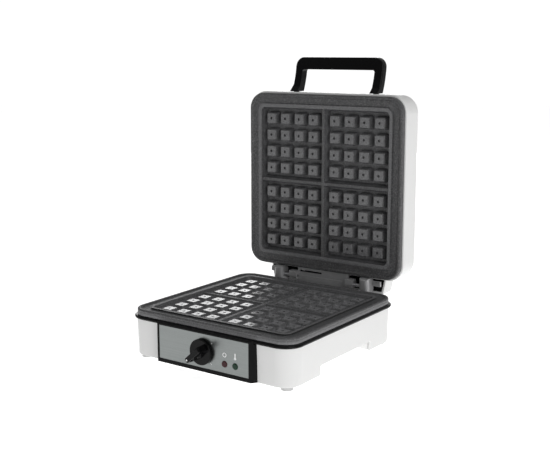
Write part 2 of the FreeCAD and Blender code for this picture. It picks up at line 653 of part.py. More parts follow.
def heating_element(label):
    """A tubular element bent into an open square under the pan, with a tab on each end."""
    element = new_body(label)
    level = "-(cavity_depth + pan_skin) - heater_width / 2"
    path = new_sketch(element, "path", level=level)
    reach_out = size_of("heater_reach")
    bend = size_of("heater_bend")
    gap = size_of("heater_gap")
    corners = [(-1, 1), (-1, -1), (1, -1), (1, 1)]
    arcs = []
    for quarter, (side_x, side_y) in enumerate(corners):
        centre = Vector(side_x * (reach_out - bend), side_y * (reach_out - bend), 0)
        start_angle = (quarter + 1) * math.pi / 2
        circle = Part.Circle(centre, Vector(0, 0, 1), bend)
        arc = Part.ArcOfCircle(circle, start_angle, start_angle + math.pi / 2)
        arcs.append(path.addGeometry(arc, False))
    start = Vector(-gap, reach_out, 0)
    finish = Vector(gap, reach_out, 0)
    lines = []
    for quarter in range(5):
        line_start = path.Geometry[arcs[quarter - 1]].EndPoint if quarter > 0 else start
        line_end = path.Geometry[arcs[quarter]].StartPoint if quarter < 4 else finish
        lines.append(path.addGeometry(Part.LineSegment(line_start, line_end), False))
    for quarter in range(4):
        path.addConstraint(Sketcher.Constraint("Tangent", lines[quarter], 2, arcs[quarter], 1))
        path.addConstraint(Sketcher.Constraint("Tangent", arcs[quarter], 2, lines[quarter + 1], 1))
    for quarter in range(1, 4):
        path.addConstraint(Sketcher.Constraint("Equal", arcs[0], arcs[quarter]))
        direction = "Vertical" if quarter % 2 == 1 else "Horizontal"
        path.addConstraint(Sketcher.Constraint(direction, lines[quarter]))
    dimension(path, "Radius", (arcs[0],), "heater_bend")
    locate(path, lines[0], 1, "-heater_gap", "heater_reach")
    locate(path, lines[4], 2, "heater_gap", "heater_reach")
    dimension(path, "DistanceX", (-1, 1, lines[1], 1), "-heater_reach")
    dimension(path, "DistanceX", (-1, 1, lines[3], 1), "heater_reach")
    dimension(path, "DistanceY", (-1, 1, lines[2], 1), "-heater_reach")
    section = new_sketch(element, "section", plane="YZ_Plane", level="-heater_gap")
    draw_circle(section, "heater_width", "heater_reach", level)
    tube = element.newObject("PartDesign::AdditivePipe", "tube")
    tube.Profile = section
    tube.Spine = path
    document.recompute()
    tabs = new_sketch(element, "tabs", plane="XZ_Plane", level="-heater_reach - tab_skin / 2")
    half_tab = "tab_width / 2"
    for inner, outer in (("heater_gap - tab_length", "heater_gap + 1"),
                         ("-heater_gap - 1", "tab_length - heater_gap")):
        draw_rectangle(tabs, inner, outer, f"{level} - {half_tab}", f"{level} + {half_tab}")
    pad(element, tabs, "tab_skin")
    return element


def heat_reflector(label, notched):
    """A shallow sheet tray under an element, screwed to the plate's bosses."""
    reflector = new_body(label)
    tray = new_sketch(reflector, "tray", level="-boss_drop - reflector_skin")
    draw_round_rectangle(tray, "reflector_width", "reflector_width", "reflector_corner")
    pad(reflector, tray, "reflector_skin + reflector_lip")
    hollow = new_sketch(reflector, "hollow", level="-boss_drop + reflector_lip")
    inside = "reflector_width - 2 * reflector_skin"
    draw_round_rectangle(hollow, inside, inside, "reflector_corner - reflector_skin")
    pocket(reflector, hollow, "reflector_lip")
    holes = new_sketch(reflector, "holes", level="-boss_drop")
    draw_four_circles(holes, "clear_bore", "boss_spread", "boss_spread")
    pocket(reflector, holes, "2 * reflector_skin")
    if notched:
        notch = new_sketch(reflector, "notch", level="-boss_drop + reflector_lip")
        draw_rectangle(notch, "-notch_width / 2", "notch_width / 2", "-reflector_width / 2 - 1",
                       "-reflector_width / 2 + notch_depth")
        pocket(reflector, notch, "reflector_lip + 2 * reflector_skin")
    return reflector


def base_heating():
    """The lower plate with its element and reflector, at their height over the table."""
    stand(cooking_plate("lower_plate"), "0", "0", "tooth_plane")
    stand(heating_element("lower_heating_element"), "0", "0", "tooth_plane")
    stand(heat_reflector("lower_heat_reflector", notched=True), "0", "0", "tooth_plane")


def lid_heating():
    """The same three pieces upright in the open lid."""
    for piece in (
        cooking_plate("upper_plate"),
        heating_element("upper_heating_element"),
        heat_reflector("upper_heat_reflector", notched=False),
    ):
        stand(piece, "0", "lid_tooth_plane", "lid_middle", UPRIGHT)


# ---------------------------------------------------------------- base shell

def base_housing():
    """The white shell: walls, deck, hinge pedestal, screw posts and the gap underneath."""
    housing = new_body("base_housing")
    walls = new_sketch(housing, "walls", level="housing_top")
    draw_round_rectangle(walls, "housing_width", "housing_width", "housing_corner")
    pad(housing, walls, "housing_top - housing_bottom", draft="housing_draft", down=True)
    pedestal = new_sketch(housing, "pedestal", level="housing_bottom")
    draw_round_rectangle(pedestal, "pedestal_width", "pedestal_back - pedestal_front",
                         "pedestal_corner", "0", "(pedestal_back + pedestal_front) / 2")
    pad(housing, pedestal, "pedestal_top - housing_bottom")
    fillet(housing, "bottom_edge", "housing_round",
           lambda edge: flat_at(edge, size_of("housing_bottom")))

    inside = "housing_width - 2 * housing_wall"
    hollow = new_sketch(housing, "hollow", level="housing_top - deck_skin")
    draw_round_rectangle(hollow, inside, inside, "housing_corner - housing_wall")
    pocket(housing, hollow, "housing_top - deck_skin", draft="housing_draft")
    core = new_sketch(housing, "pedestal_hollow", level="pedestal_top - housing_wall")
    draw_round_rectangle(core, "pedestal_width - 2 * housing_wall",
                         "pedestal_back - pedestal_front", "pedestal_corner - housing_wall",
                         "0", "(pedestal_back + pedestal_front) / 2 - housing_wall")
    pocket(housing, core, "pedestal_top")
    posts = new_sketch(housing, "posts", level="post_bottom")
    draw_four_circles(posts, "post_width", "post_out", "post_along")
    pad(housing, posts, "housing_top - deck_skin / 2 - post_bottom")
    bores = new_sketch(housing, "post_bores", level="post_bottom")
    draw_four_circles(bores, "post_bore", "post_out", "post_along")
    pocket(housing, bores, "post_bore_length", up=True)
    opening = new_sketch(housing, "deck_opening", level="housing_top")
    draw_round_rectangle(opening, "deck_opening", "deck_opening", "deck_corner")
    pocket(housing, opening, "2 * deck_skin")
    tower_holes = new_sketch(housing, "tower_holes", level="pedestal_top")
    for side in ("-", ""):
        for out in ("foot_screw_inner", "foot_screw_outer"):
            draw_circle(tower_holes, "foot_screw + pin_slack", f"{side}{out}", "foot_screw_back")
    pocket(housing, tower_holes, "2 * housing_wall")

    window = new_sketch(housing, "window", plane="XZ_Plane", level="housing_width / 2 + 2")
    draw_rectangle(window, "-window_width / 2", "window_width / 2", "window_low", "window_high")
    pocket(housing, window, "4 * housing_wall")
    gap = new_sketch(housing, "gap", plane="YZ_Plane")
    draw_rectangle(gap, "-gap_front", "gap_rear", "0", "gap_height")
    pocket(housing, gap, "2 * housing_width", middle=True)
    gland_hole = new_sketch(housing, "gland_hole", plane="XZ_Plane", level="-pedestal_back - 1")
    draw_circle(gland_hole, "gland_neck", "-gland_left", "gland_height")
    pocket(housing, gland_hole, "2 * housing_wall", up=True)

    top = size_of("gap_height")
    fillet(housing, "gap_corners", "gap_round",
           lambda edge: flat_at(edge, top) and near(edge.BoundBox.YLength, 0)
           and near(edge.BoundBox.YMin, -size_of("gap_front"))
           and abs(edge.BoundBox.XMin) + abs(edge.BoundBox.XMax) > size_of("pedestal_width"))
    stand(housing, "0", "0", "0")


def bottom_cover():
    """A moulded floor that steps up over the gap under the base."""
    cover = new_body("bottom_cover")
    profile = new_sketch(cover, "profile", plane="YZ_Plane")
    front = "-cover_width / 2"
    rear = "pedestal_back - housing_wall - cover_gap"
    raised = "gap_height + cover_gap"
    draw_polygon(profile, [
        (front, "cover_low"),
        ("-gap_front - cover_gap", "cover_low"),
        ("-gap_front - cover_gap", raised),
        ("gap_rear + cover_gap", raised),
        ("gap_rear + cover_gap", "cover_low"),
        (rear, "cover_low"),
        (rear, "cover_low + cover_skin"),
        ("gap_rear + cover_gap + cover_skin", "cover_low + cover_skin"),
        ("gap_rear + cover_gap + cover_skin", f"{raised} + cover_skin"),
        ("-gap_front - cover_gap - cover_skin", f"{raised} + cover_skin"),
        ("-gap_front - cover_gap - cover_skin", "cover_low + cover_skin"),
        (front, "cover_low + cover_skin"),
    ])
    pad(cover, profile, "cover_width", middle=True)
    half = "cover_width / 2"
    tongue = "pedestal_width / 2 - housing_wall - cover_gap"
    for name, side in (("left_shoulder", "-"), ("right_shoulder", "")):
        shoulder = new_sketch(cover, name, level="cover_low")
        draw_polygon(shoulder, [
            (f"{side}({tongue})", half),
            (f"{side}({half} + cover_skin)", half),
            (f"{side}({half} + cover_skin)", "pedestal_back"),
            (f"{side}({tongue})", "pedestal_back"),
        ])
        pocket(cover, shoulder, "2 * cover_skin", up=True)
    half_width = size_of(half)

    def outer_corner(edge):
        box = edge.BoundBox
        return upright(edge) and near(abs(box.XMin), half_width) and near(abs(box.YMin), half_width)

    fillet(cover, "corners", "cover_corner", outer_corner)
    tongue_half = size_of(tongue)
    fillet(cover, "tongue_corners", "pedestal_corner - housing_wall",
           lambda edge: upright(edge) and near(abs(edge.BoundBox.XMin), tongue_half)
           and near(edge.BoundBox.YMin, size_of(rear)))
    holes = new_sketch(cover, "holes", level="cover_low")
    draw_four_circles(holes, "foot_stud + stud_slack", "foot_spread", "foot_spread")
    draw_four_circles(holes, "boss_bore", "post_out", "post_along")
    draw_four_circles(holes, "clear_bore", "boss_spread", "boss_spread")
    pocket(cover, holes, "2 * cover_skin", up=True)
    stand(cover, "0", "0", "0")


def feet():
    """Four rubber feet, each with a stud through the bottom cover."""
    for name, side_x, side_y in (
        ("foot_front_left", "-", "-"),
        ("foot_front_right", "", "-"),
        ("foot_rear_left", "-", ""),
        ("foot_rear_right", "", ""),
    ):
        foot = new_body(name)
        sole = new_sketch(foot, "sole", level="housing_bottom")
        draw_circle(sole, "foot_width")
        pad(foot, sole, "housing_bottom", draft="foot_draft", down=True)
        stud = new_sketch(foot, "stud", level="housing_bottom - 1")
        draw_circle(stud, "foot_stud")
        pad(foot, stud, "foot_stud_high - housing_bottom + 1")
        fillet(foot, "sole_edge", "cover_gap", lambda edge: flat_at(edge, 0))
        stand(foot, f"{side_x}foot_spread", f"{side_y}foot_spread", "0")


def trim_ring():
    """The black lip between the housing and the lower plate."""
    ring = new_body("trim_ring")
    lip = new_sketch(ring, "lip", level="housing_top")
    draw_round_rectangle(lip, "trim_width", "trim_width", "trim_corner")
    pad(ring, lip, "trim_skin")
    for name, level in (("upper_edge", "housing_top + trim_skin"), ("lower_edge", "housing_top")):
        fillet(ring, name, "trim_round", outline_at(level, "trim_width"))
    spigot = new_sketch(ring, "spigot", level="housing_top")
    draw_round_rectangle(spigot, "spigot_outer", "spigot_outer", "spigot_corner")
    pad(ring, spigot, "spigot_drop", down=True)
    opening = new_sketch(ring, "opening", level="housing_top + trim_skin")
    draw_round_rectangle(opening, "spigot_inner", "spigot_inner", "ring_corner")
    pocket(ring, opening, "2 * trim_skin + spigot_drop")
    stand(ring, "0", "0", "0")


# ---------------------------------------------------------------- front panel

def front_bezel():
    """The black frame on the housing's front wall, drawn lying on its back."""
    bezel = new_body("front_bezel")
    lean = "(bezel_back_high - bezel_low) * tan(housing_draft * 1 deg)"
    side_view = new_sketch(bezel, "side_view", plane="YZ_Plane")
    draw_polygon(side_view, [
        ("bezel_low", "0"),
        ("bezel_high", "0"),
        ("bezel_high", "-bezel_skin"),
        ("bezel_back_high", "-bezel_skin"),
        ("bezel_back_high", "-bezel_depth"),
        ("bezel_low", f"-bezel_depth - {lean}"),
    ])
    pad(bezel, side_view, "bezel_base_width", middle=True)
    slopes = new_sketch(bezel, "side_slopes", plane="XZ_Plane")
    for side in ("-", ""):
        draw_polygon(slopes, [
            (f"{side}bezel_width / 2", "0"),
            (f"{side}(bezel_base_width / 2 + bezel_depth)", "0"),
            (f"{side}(bezel_base_width / 2 + bezel_depth)", "-bezel_depth"),
            (f"{side}bezel_base_width / 2", "-bezel_depth"),
        ])
    pocket(bezel, slopes, "4 * bezel_high", middle=True)
    fillet(bezel, "front_edge", "bezel_round", lambda edge: flat_at(edge, 0))

    recess = new_sketch(bezel, "recess")
    draw_rectangle(recess, "-panel_width / 2", "panel_width / 2", "panel_low", "panel_high")
    pocket(bezel, recess, "panel_recess")
    back = new_sketch(bezel, "rear_hollow", level="-2 * bezel_depth")
    draw_rectangle(back, "-window_width / 2", "window_width / 2", "window_low", "window_high")
    pocket(bezel, back, "2 * bezel_depth - panel_recess - bezel_floor", up=True)
    bosses = new_sketch(bezel, "bosses", level="-bezel_depth")
    for side in ("-", ""):
        draw_circle(bosses, "screw_head", f"{side}bracket_screw_out", "knob_height")
    pad(bezel, bosses, "bezel_depth - panel_recess - bezel_floor / 2")
    screw_holes = new_sketch(bezel, "screw_holes", level="-bezel_depth")
    for side in ("-", ""):
        draw_circle(screw_holes, "boss_bore + pin_slack", f"{side}bracket_screw_out", "knob_height")
    pocket(bezel, screw_holes, "bezel_floor", up=True)
    holes = new_sketch(bezel, "holes", level="-panel_recess")
    draw_circle(holes, "shaft_hole", "0", "knob_height")
    draw_circle(holes, "lamp_hole", "power_lamp_out", "lamp_height")
    draw_circle(holes, "lamp_hole", "ready_lamp_out", "lamp_height")
    pocket(bezel, holes, "bezel_depth")
    stand(bezel, "0", "-bezel_front", "0", UPRIGHT)


def control_panel():
    """The brushed steel plate in the bezel's recess."""
    panel = new_body("control_panel")
    face = new_sketch(panel, "face", level="-panel_recess")
    draw_rectangle(face, "-panel_width / 2 + panel_slack", "panel_width / 2 - panel_slack",
                   "panel_low + panel_slack", "panel_high - panel_slack")
    draw_circle(face, "shaft_hole", "0", "knob_height")
    draw_circle(face, "lamp_hole", "power_lamp_out", "lamp_height")
    draw_circle(face, "lamp_hole", "ready_lamp_out", "lamp_height")
    pad(panel, face, "panel_skin")
    stand(panel, "0", "-bezel_front", "0", UPRIGHT)


def lamps():
    """Two domed lenses with a flange behind the bezel floor, and a neon lamp behind each."""
    flange_level = "-panel_recess - bezel_floor"
    for name, out in (("power", "power_lamp_out"), ("ready", "ready_lamp_out")):
        lens = new_body(f"{name}_lamp_lens")
        stem = new_sketch(lens, "stem", level=flange_level)
        draw_circle(stem, "lens_width")
        pad(lens, stem, "bezel_floor + panel_skin + lens_proud")
        fillet(lens, "dome", "lens_proud", lambda edge: edge.BoundBox.ZMin > -1)
        flange = new_sketch(lens, "flange", level=flange_level)
        draw_circle(flange, "lens_flange")
        pad(lens, flange, "flange_skin", down=True)
        stand(lens, out, "-bezel_front", "lamp_height", UPRIGHT)
        neon = new_body(f"{name}_neon_lamp")
        glass = new_sketch(neon, "glass", level=f"{flange_level} - neon_gap")
        draw_circle(glass, "neon_width")
        pad(neon, glass, "neon_length", down=True)
        tip = size_of(f"{flange_level} - neon_gap")
        fillet(neon, "tip", "neon_round", lambda edge: flat_at(edge, tip))
        stand(neon, out, "-bezel_front", "lamp_height", UPRIGHT)


def lamp_holder():
    """The block that holds both neon lamps, pushed over the lens flanges."""
    holder = new_body("lamp_holder")
    block = new_sketch(holder, "block", level="-panel_recess - bezel_floor - holder_gap")
    middle = "(power_lamp_out + ready_lamp_out) / 2"
    draw_round_rectangle(block, "holder_width", "holder_rise", "2", middle, "lamp_height")
    pad(holder, block, "holder_depth", down=True)
    bores = new_sketch(holder, "bores", level="-panel_recess - bezel_floor - holder_gap")
    for out in ("power_lamp_out", "ready_lamp_out"):
        draw_circle(bores, "neon_width + stud_slack", out, "lamp_height")
    pocket(holder, bores, "2 * holder_depth")
    stand(holder, "0", "-bezel_front", "0", UPRIGHT)


def thermostat():
    """The control's sheet bracket, and its body with the threaded bush."""
    bracket = new_body("thermostat_bracket")
    sheet_face = new_sketch(bracket, "sheet_face", level="-bezel_depth - bracket_skin")
    draw_round_rectangle(sheet_face, "bracket_width", "bracket_rise", "bracket_corner",
                         "0", "knob_height")
    draw_circle(sheet_face, "bush_width + stud_slack", "0", "knob_height")
    for side in ("-", ""):
        draw_circle(sheet_face, "boss_bore", f"{side}bracket_screw_out", "knob_height")
    pad(bracket, sheet_face, "bracket_skin")
    stand(bracket, "0", "-bezel_front", "0", UPRIGHT)

    body = new_body("thermostat_body")
    case = new_sketch(body, "case", level="-bezel_depth - bracket_skin")
    draw_round_rectangle(case, "thermostat_width", "thermostat_width", "case_corner",
                         "0", "knob_height")
    pad(body, case, "thermostat_depth", down=True)
    bush = new_sketch(body, "bush", level="-bezel_depth - bracket_skin")
    draw_circle(bush, "bush_width", "0", "knob_height")
    pad(body, bush, "bush_length")
    bore = new_sketch(body, "bore", level="-bezel_depth - bracket_skin + bush_length")
    draw_circle(bore, "shaft_bore", "0", "knob_height")
    pocket(body, bore, "shaft_length - knob_hub + shaft_spare")
    stand(body, "0", "-bezel_front", "0", UPRIGHT)


# ---------------------------------------------------------------- knob

def knob():
    """The knob with its hub bore, the white marker in its pointer, and the shaft it turns."""
    lowest_turn = Rotation(Vector(0, 0, 1), size_of("knob_turn"))
    facing = UPRIGHT.multiply(lowest_turn)
    front = "-bezel_front + panel_recess - panel_skin"

    dial = new_body("knob")
    skirt = new_sketch(dial, "skirt", level="knob_gap")
    draw_circle(skirt, "knob_width")
    pad(dial, skirt, "knob_skirt")
    face = size_of("knob_gap + knob_skirt")
    fillet(dial, "skirt_edge", "knob_skirt_round", lambda edge: flat_at(edge, face))
    dome = new_sketch(dial, "dome", level="knob_gap + knob_skirt / 2")
    draw_circle(dome, "knob_boss")
    pad(dial, dome, "knob_dome - knob_gap - knob_skirt / 2", draft="knob_boss_draft")
    fillet(dial, "dome_edge", "knob_dome_round",
           lambda edge: flat_at(edge, size_of("knob_dome")))
    bar = new_sketch(dial, "bar", level="knob_gap + knob_bar_sunk")
    draw_polygon(bar, [
        ("-knob_bar_width / 2", "-knob_bar_tail"),
        ("knob_bar_width / 2", "-knob_bar_tail"),
        ("knob_bar_width / 2", "knob_bar_tip - knob_bar_nose"),
        ("knob_bar_width / 4", "knob_bar_tip"),
        ("-knob_bar_width / 4", "knob_bar_tip"),
        ("-knob_bar_width / 2", "knob_bar_tip - knob_bar_nose"),
    ])
    pad(dial, bar, "knob_bar_top - knob_gap - knob_bar_sunk", draft="knob_bar_draft")
    fillet(dial, "bar_edge", "knob_bar_round",
           lambda edge: flat_at(edge, size_of("knob_bar_top")))
    hub = new_sketch(dial, "hub", level="knob_gap")
    draw_circle(hub, "shaft_width + hub_slack")
    pocket(dial, hub, "knob_hub", up=True)
    marker_seat = new_sketch(dial, "marker_seat", level="knob_bar_top")
    draw_circle(marker_seat, "marker_width", "0", "marker_out")
    pocket(dial, marker_seat, "marker_depth")
    stand(dial, "0", front, "knob_height", facing)

    marker = new_body("knob_marker")
    disc = new_sketch(marker, "disc", level="knob_bar_top - marker_depth")
    draw_circle(disc, "marker_width", "0", "marker_out")
    pad(marker, disc, "marker_depth")
    stand(marker, "0", front, "knob_height", facing)

    shaft = new_body("thermostat_shaft")
    rod = new_sketch(shaft, "rod", level="knob_gap + knob_hub - shaft_gap")
    draw_circle(rod, "shaft_width")
    pad(shaft, rod, "shaft_length", down=True)
    flat = new_sketch(shaft, "flat", level="knob_gap + knob_hub")
    draw_rectangle(flat, "-shaft_width", "shaft_width",
                   "shaft_width / 2 - shaft_flat", "shaft_width")
    pocket(shaft, flat, "flat_length")
    stand(shaft, "0", front, "knob_height", facing)

    clip = new_body("knob_spring_clip")
    leaf = new_sketch(clip, "leaf", level="knob_gap + clip_start")
    draw_rectangle(leaf, "-clip_width / 2", "clip_width / 2", "shaft_width / 2 - shaft_flat",
                   "shaft_width / 2 - shaft_flat + clip_skin")
    pad(clip, leaf, "knob_hub - clip_start - 2 * shaft_gap")
    stand(clip, "0", front, "knob_height", facing)


# ---------------------------------------------------------------- lid shell and handle

def lid_housing():
    """The white lid shell: a rim band round the plate and a slightly smaller drawn body."""
    housing = new_body("lid_housing")
    rim = new_sketch(housing, "rim", level="-wall_drop")
    draw_round_rectangle(rim, "lid_rim_width", "lid_rim_width", "lid_corner")
    pad(housing, rim, "lid_rim_depth", down=True)
    fillet(housing, "rim_front_edge", "rim_edge_round", outline_at("-wall_drop", "lid_rim_width"))
    fillet(housing, "rim_rear_edge", "rim_edge_round / 2",
           outline_at("-wall_drop - lid_rim_depth", "lid_rim_width"))
    crown = new_sketch(housing, "crown", level="-wall_drop - lid_rim_depth / 2")
    draw_round_rectangle(crown, "lid_width", "lid_width", "lid_corner")
    pad(housing, crown, "lid_depth - lid_rim_depth / 2", draft="lid_draft", down=True)
    back = -size_of("wall_drop + lid_depth")
    fillet(housing, "back_edge", "lid_round", lambda edge: flat_at(edge, back))
    hollow = new_sketch(housing, "hollow", level="-wall_drop")
    draw_round_rectangle(hollow, "lid_hollow_width", "lid_hollow_width", "lid_hollow_corner")
    pocket(housing, hollow, "lid_depth - lid_skin", draft="lid_draft")
    floor = back + size_of("lid_skin")
    fillet(housing, "inner_edge", "lid_inner_round", lambda edge: flat_at(edge, floor))
    studs = new_sketch(housing, "stud_holes", plane="XZ_Plane", level="-lid_width / 2 - 2")
    for side in ("-", ""):
        draw_circle(studs, "leg_stud + stud_slack", f"{side}leg_out",
                    "lid_tooth_plane - handle_back")
    pocket(housing, studs, "leg_stud_drop + lid_skin", up=True)
    screw_holes = new_sketch(housing, "hinge_screw_holes", plane="XZ_Plane",
                             level="lid_width / 2 + 2")
    axis_level = "lid_tooth_plane - hinge_back"
    for step in ("-1", "0", "1"):
        draw_circle(screw_holes, "post_bore + pin_slack", f"{step} * hinge_screw_step",
                    f"{axis_level} - (web_front + web_skin + flange_back) / 2")
    for side in ("-", ""):
        draw_circle(screw_holes, "post_bore + pin_slack", f"{side}hood_screw_out",
                    f"{axis_level} - (hood_front + hood_back) / 2")
    pocket(housing, screw_holes, "leg_stud_drop + lid_skin")
    stand(housing, "0", "lid_tooth_plane", "lid_middle", UPRIGHT)


def handle():
    """The black loop on the lid's free edge: two legs that curve back, and a grip bar."""
    loop = new_body("handle")
    side_view = new_sketch(loop, "side_view", plane="YZ_Plane")
    curve_middle = "handle_depth / 2 + handle_swing - handle_curve"
    centre = Vector(size_of(curve_middle), size_of("handle_rise"), 0)
    inner = size_of("handle_curve - handle_depth / 2")
    outer = size_of("handle_curve + handle_depth / 2")
    rise = size_of("handle_rise")
    toe_rise = size_of("handle_toe_rise")
    start_inner = -math.asin((rise - toe_rise) / inner)
    start_outer = -math.asin(rise / outer)
    up = Vector(0, 0, 1)
    front_arc = Part.ArcOfCircle(Part.Circle(centre, up, inner), start_inner, 0)
    rear_arc = Part.ArcOfCircle(Part.Circle(centre, up, outer), start_outer, 0)
    toe = Vector(-size_of("handle_toe"), 0, 0)
    outline = [
        front_arc,
        Part.LineSegment(front_arc.EndPoint, rear_arc.EndPoint),
        rear_arc,
        Part.LineSegment(rear_arc.StartPoint, toe),
        Part.LineSegment(toe, front_arc.StartPoint),
    ]
    side_view.addGeometry(outline, False)
    for first, first_end, second, second_end in (
        (0, 2, 1, 1), (1, 2, 2, 2), (2, 1, 3, 1), (3, 2, 4, 1), (4, 2, 0, 1),
    ):
        side_view.addConstraint(
            Sketcher.Constraint("Coincident", first, first_end, second, second_end))
    side_view.addConstraint(Sketcher.Constraint("Coincident", 0, 3, 2, 3))
    side_view.addConstraint(Sketcher.Constraint("Horizontal", 1))
    dimension(side_view, "Radius", (0,), "handle_curve - handle_depth / 2")
    dimension(side_view, "Radius", (2,), "handle_curve + handle_depth / 2")
    locate(side_view, 0, 3, curve_middle, "handle_rise")
    dimension(side_view, "DistanceY", (-1, 1, 1, 1), "handle_rise")
    locate(side_view, 4, 1, "-handle_toe", "0")
    dimension(side_view, "DistanceY", (-1, 1, 2, 1), "0")
    dimension(side_view, "DistanceY", (-1, 1, 0, 1), "handle_toe_rise")
    pad(loop, side_view, "handle_width", middle=True)

    opening = new_sketch(loop, "finger_opening", plane="XZ_Plane", level="-3 * handle_depth")
    draw_round_rectangle(opening, "grip_opening", "2 * grip_clear", "grip_corner")
    pocket(loop, opening, "8 * handle_depth", up=True)
    top = size_of("handle_rise")
    half = size_of("handle_width / 2")
    corner = size_of("handle_corner")
    fillet(loop, "upper_corners", "handle_corner",
           lambda edge: flat_at(edge, top) and near(edge.BoundBox.XLength, 0)
           and near(abs(edge.BoundBox.XMin), half))

    def outer_rail(edge):
        box = edge.BoundBox
        on_side = near(abs(box.XMin), half) and near(box.XLength, 0) and box.ZLength > corner
        on_top = flat_at(edge, top) and box.XLength > corner
        return on_side or on_top

    fillet(loop, "rounding", "handle_round", outer_rail)
    studs = new_sketch(loop, "studs")
    for side in ("-", ""):
        draw_circle(studs, "leg_stud", f"{side}leg_out", "0")
    pad(loop, studs, "leg_stud_drop", down=True)
    stand(loop, "0", "handle_back", "lid_middle + lid_rim_width / 2", Rotation())


# ---------------------------------------------------------------- hinge

def hinge_towers():
    """Two coated cast towers on the pedestal, each with a pin bore, a foot plate and a pin."""
    for name, side in (("left", "-"), ("right", "")):
        tower = new_body(f"hinge_tower_{name}")
        profile = new_sketch(tower, "profile", plane="YZ_Plane", level=f"{side}tower_inner")
        front = -size_of("tower_front")
        rear = size_of("tower_rear")
        foot = size_of("pedestal_top - hinge_height")
        radius = size_of("tower_round")
        shoulder_front = math.sqrt(radius**2 - front**2)
        shoulder_rear = math.sqrt(radius**2 - rear**2)
        head = Part.ArcOfCircle(
            Part.Circle(Vector(), Vector(0, 0, 1), radius),
            math.atan2(shoulder_rear, rear), math.atan2(shoulder_front, front))
        profile.addGeometry([
            head,
            Part.LineSegment(Vector(front, shoulder_front, 0), Vector(front, foot, 0)),
            Part.LineSegment(Vector(front, foot, 0), Vector(rear, foot, 0)),
            Part.LineSegment(Vector(rear, foot, 0), Vector(rear, shoulder_rear, 0)),
        ], False)
        for first, first_end, second, second_end in (
            (0, 2, 1, 1), (1, 2, 2, 1), (2, 2, 3, 1), (3, 2, 0, 1),
        ):
            profile.addConstraint(
                Sketcher.Constraint("Coincident", first, first_end, second, second_end))
        profile.addConstraint(Sketcher.Constraint("Coincident", 0, 3, -1, 1))
        profile.addConstraint(Sketcher.Constraint("Vertical", 1))
        profile.addConstraint(Sketcher.Constraint("Vertical", 3))
        dimension(profile, "Radius", (0,), "tower_round")
        locate(profile, 2, 1, "-tower_front", "pedestal_top - hinge_height")
        locate(profile, 2, 2, "tower_rear", "pedestal_top - hinge_height")
        pad(tower, profile, "column_outer - tower_inner", down=side == "-")
        fillet(tower, "upright_corners", "tower_corner",
               lambda edge: upright(edge) and near(edge.BoundBox.YMin, front))
        plate = new_sketch(tower, "foot_plate", level="pedestal_top - hinge_height")
        draw_rectangle(plate, f"{side}tower_inner", f"{side}tower_outer",
                       "0", "tower_foot_back - hinge_back")
        pad(tower, plate, "tower_foot")
        ear = new_sketch(tower, "stud_flange", plane="YZ_Plane",
                         level=f"{side}(column_outer - tower_corner)")
        draw_rectangle(ear, "ear_front", "tower_rear", "ear_low", "ear_top")
        pad(tower, ear, "tower_outer - column_outer + tower_corner", down=side == "-")
        stud_holes = new_sketch(tower, "stud_holes", plane="XZ_Plane", level="-ear_front")
        for out in ("stud_first", "stud_second"):
            draw_circle(stud_holes, "stud_head + pin_slack", f"{side}{out}", "stud_rise")
        pocket(tower, stud_holes, "stud_length - stud_proud + pin_slack")
        bore = new_sketch(tower, "pin_bore", plane="YZ_Plane", level=f"{side}(tower_inner - 1)")
        draw_circle(bore, "pin_width")
        pocket(tower, bore, "pin_outer - tower_inner + 1", up=side == "")
        screw_holes = new_sketch(tower, "screw_holes", level="pedestal_top - hinge_height")
        for out in ("foot_screw_inner", "foot_screw_outer"):
            draw_circle(screw_holes, "clear_bore", f"{side}{out}", "foot_screw_back - hinge_back")
        pocket(tower, screw_holes, "2 * tower_foot", up=True)
        stand(tower, "0", "hinge_back", "hinge_height")

        pin = new_body(f"hinge_pin_{name}")
        rod = new_sketch(pin, "rod", plane="YZ_Plane", level=f"{side}pin_inner")
        draw_circle(rod, "pin_width")
        pad(pin, rod, "pin_outer - pin_inner", down=side == "-")
        stand(pin, "0", "hinge_back", "hinge_height")


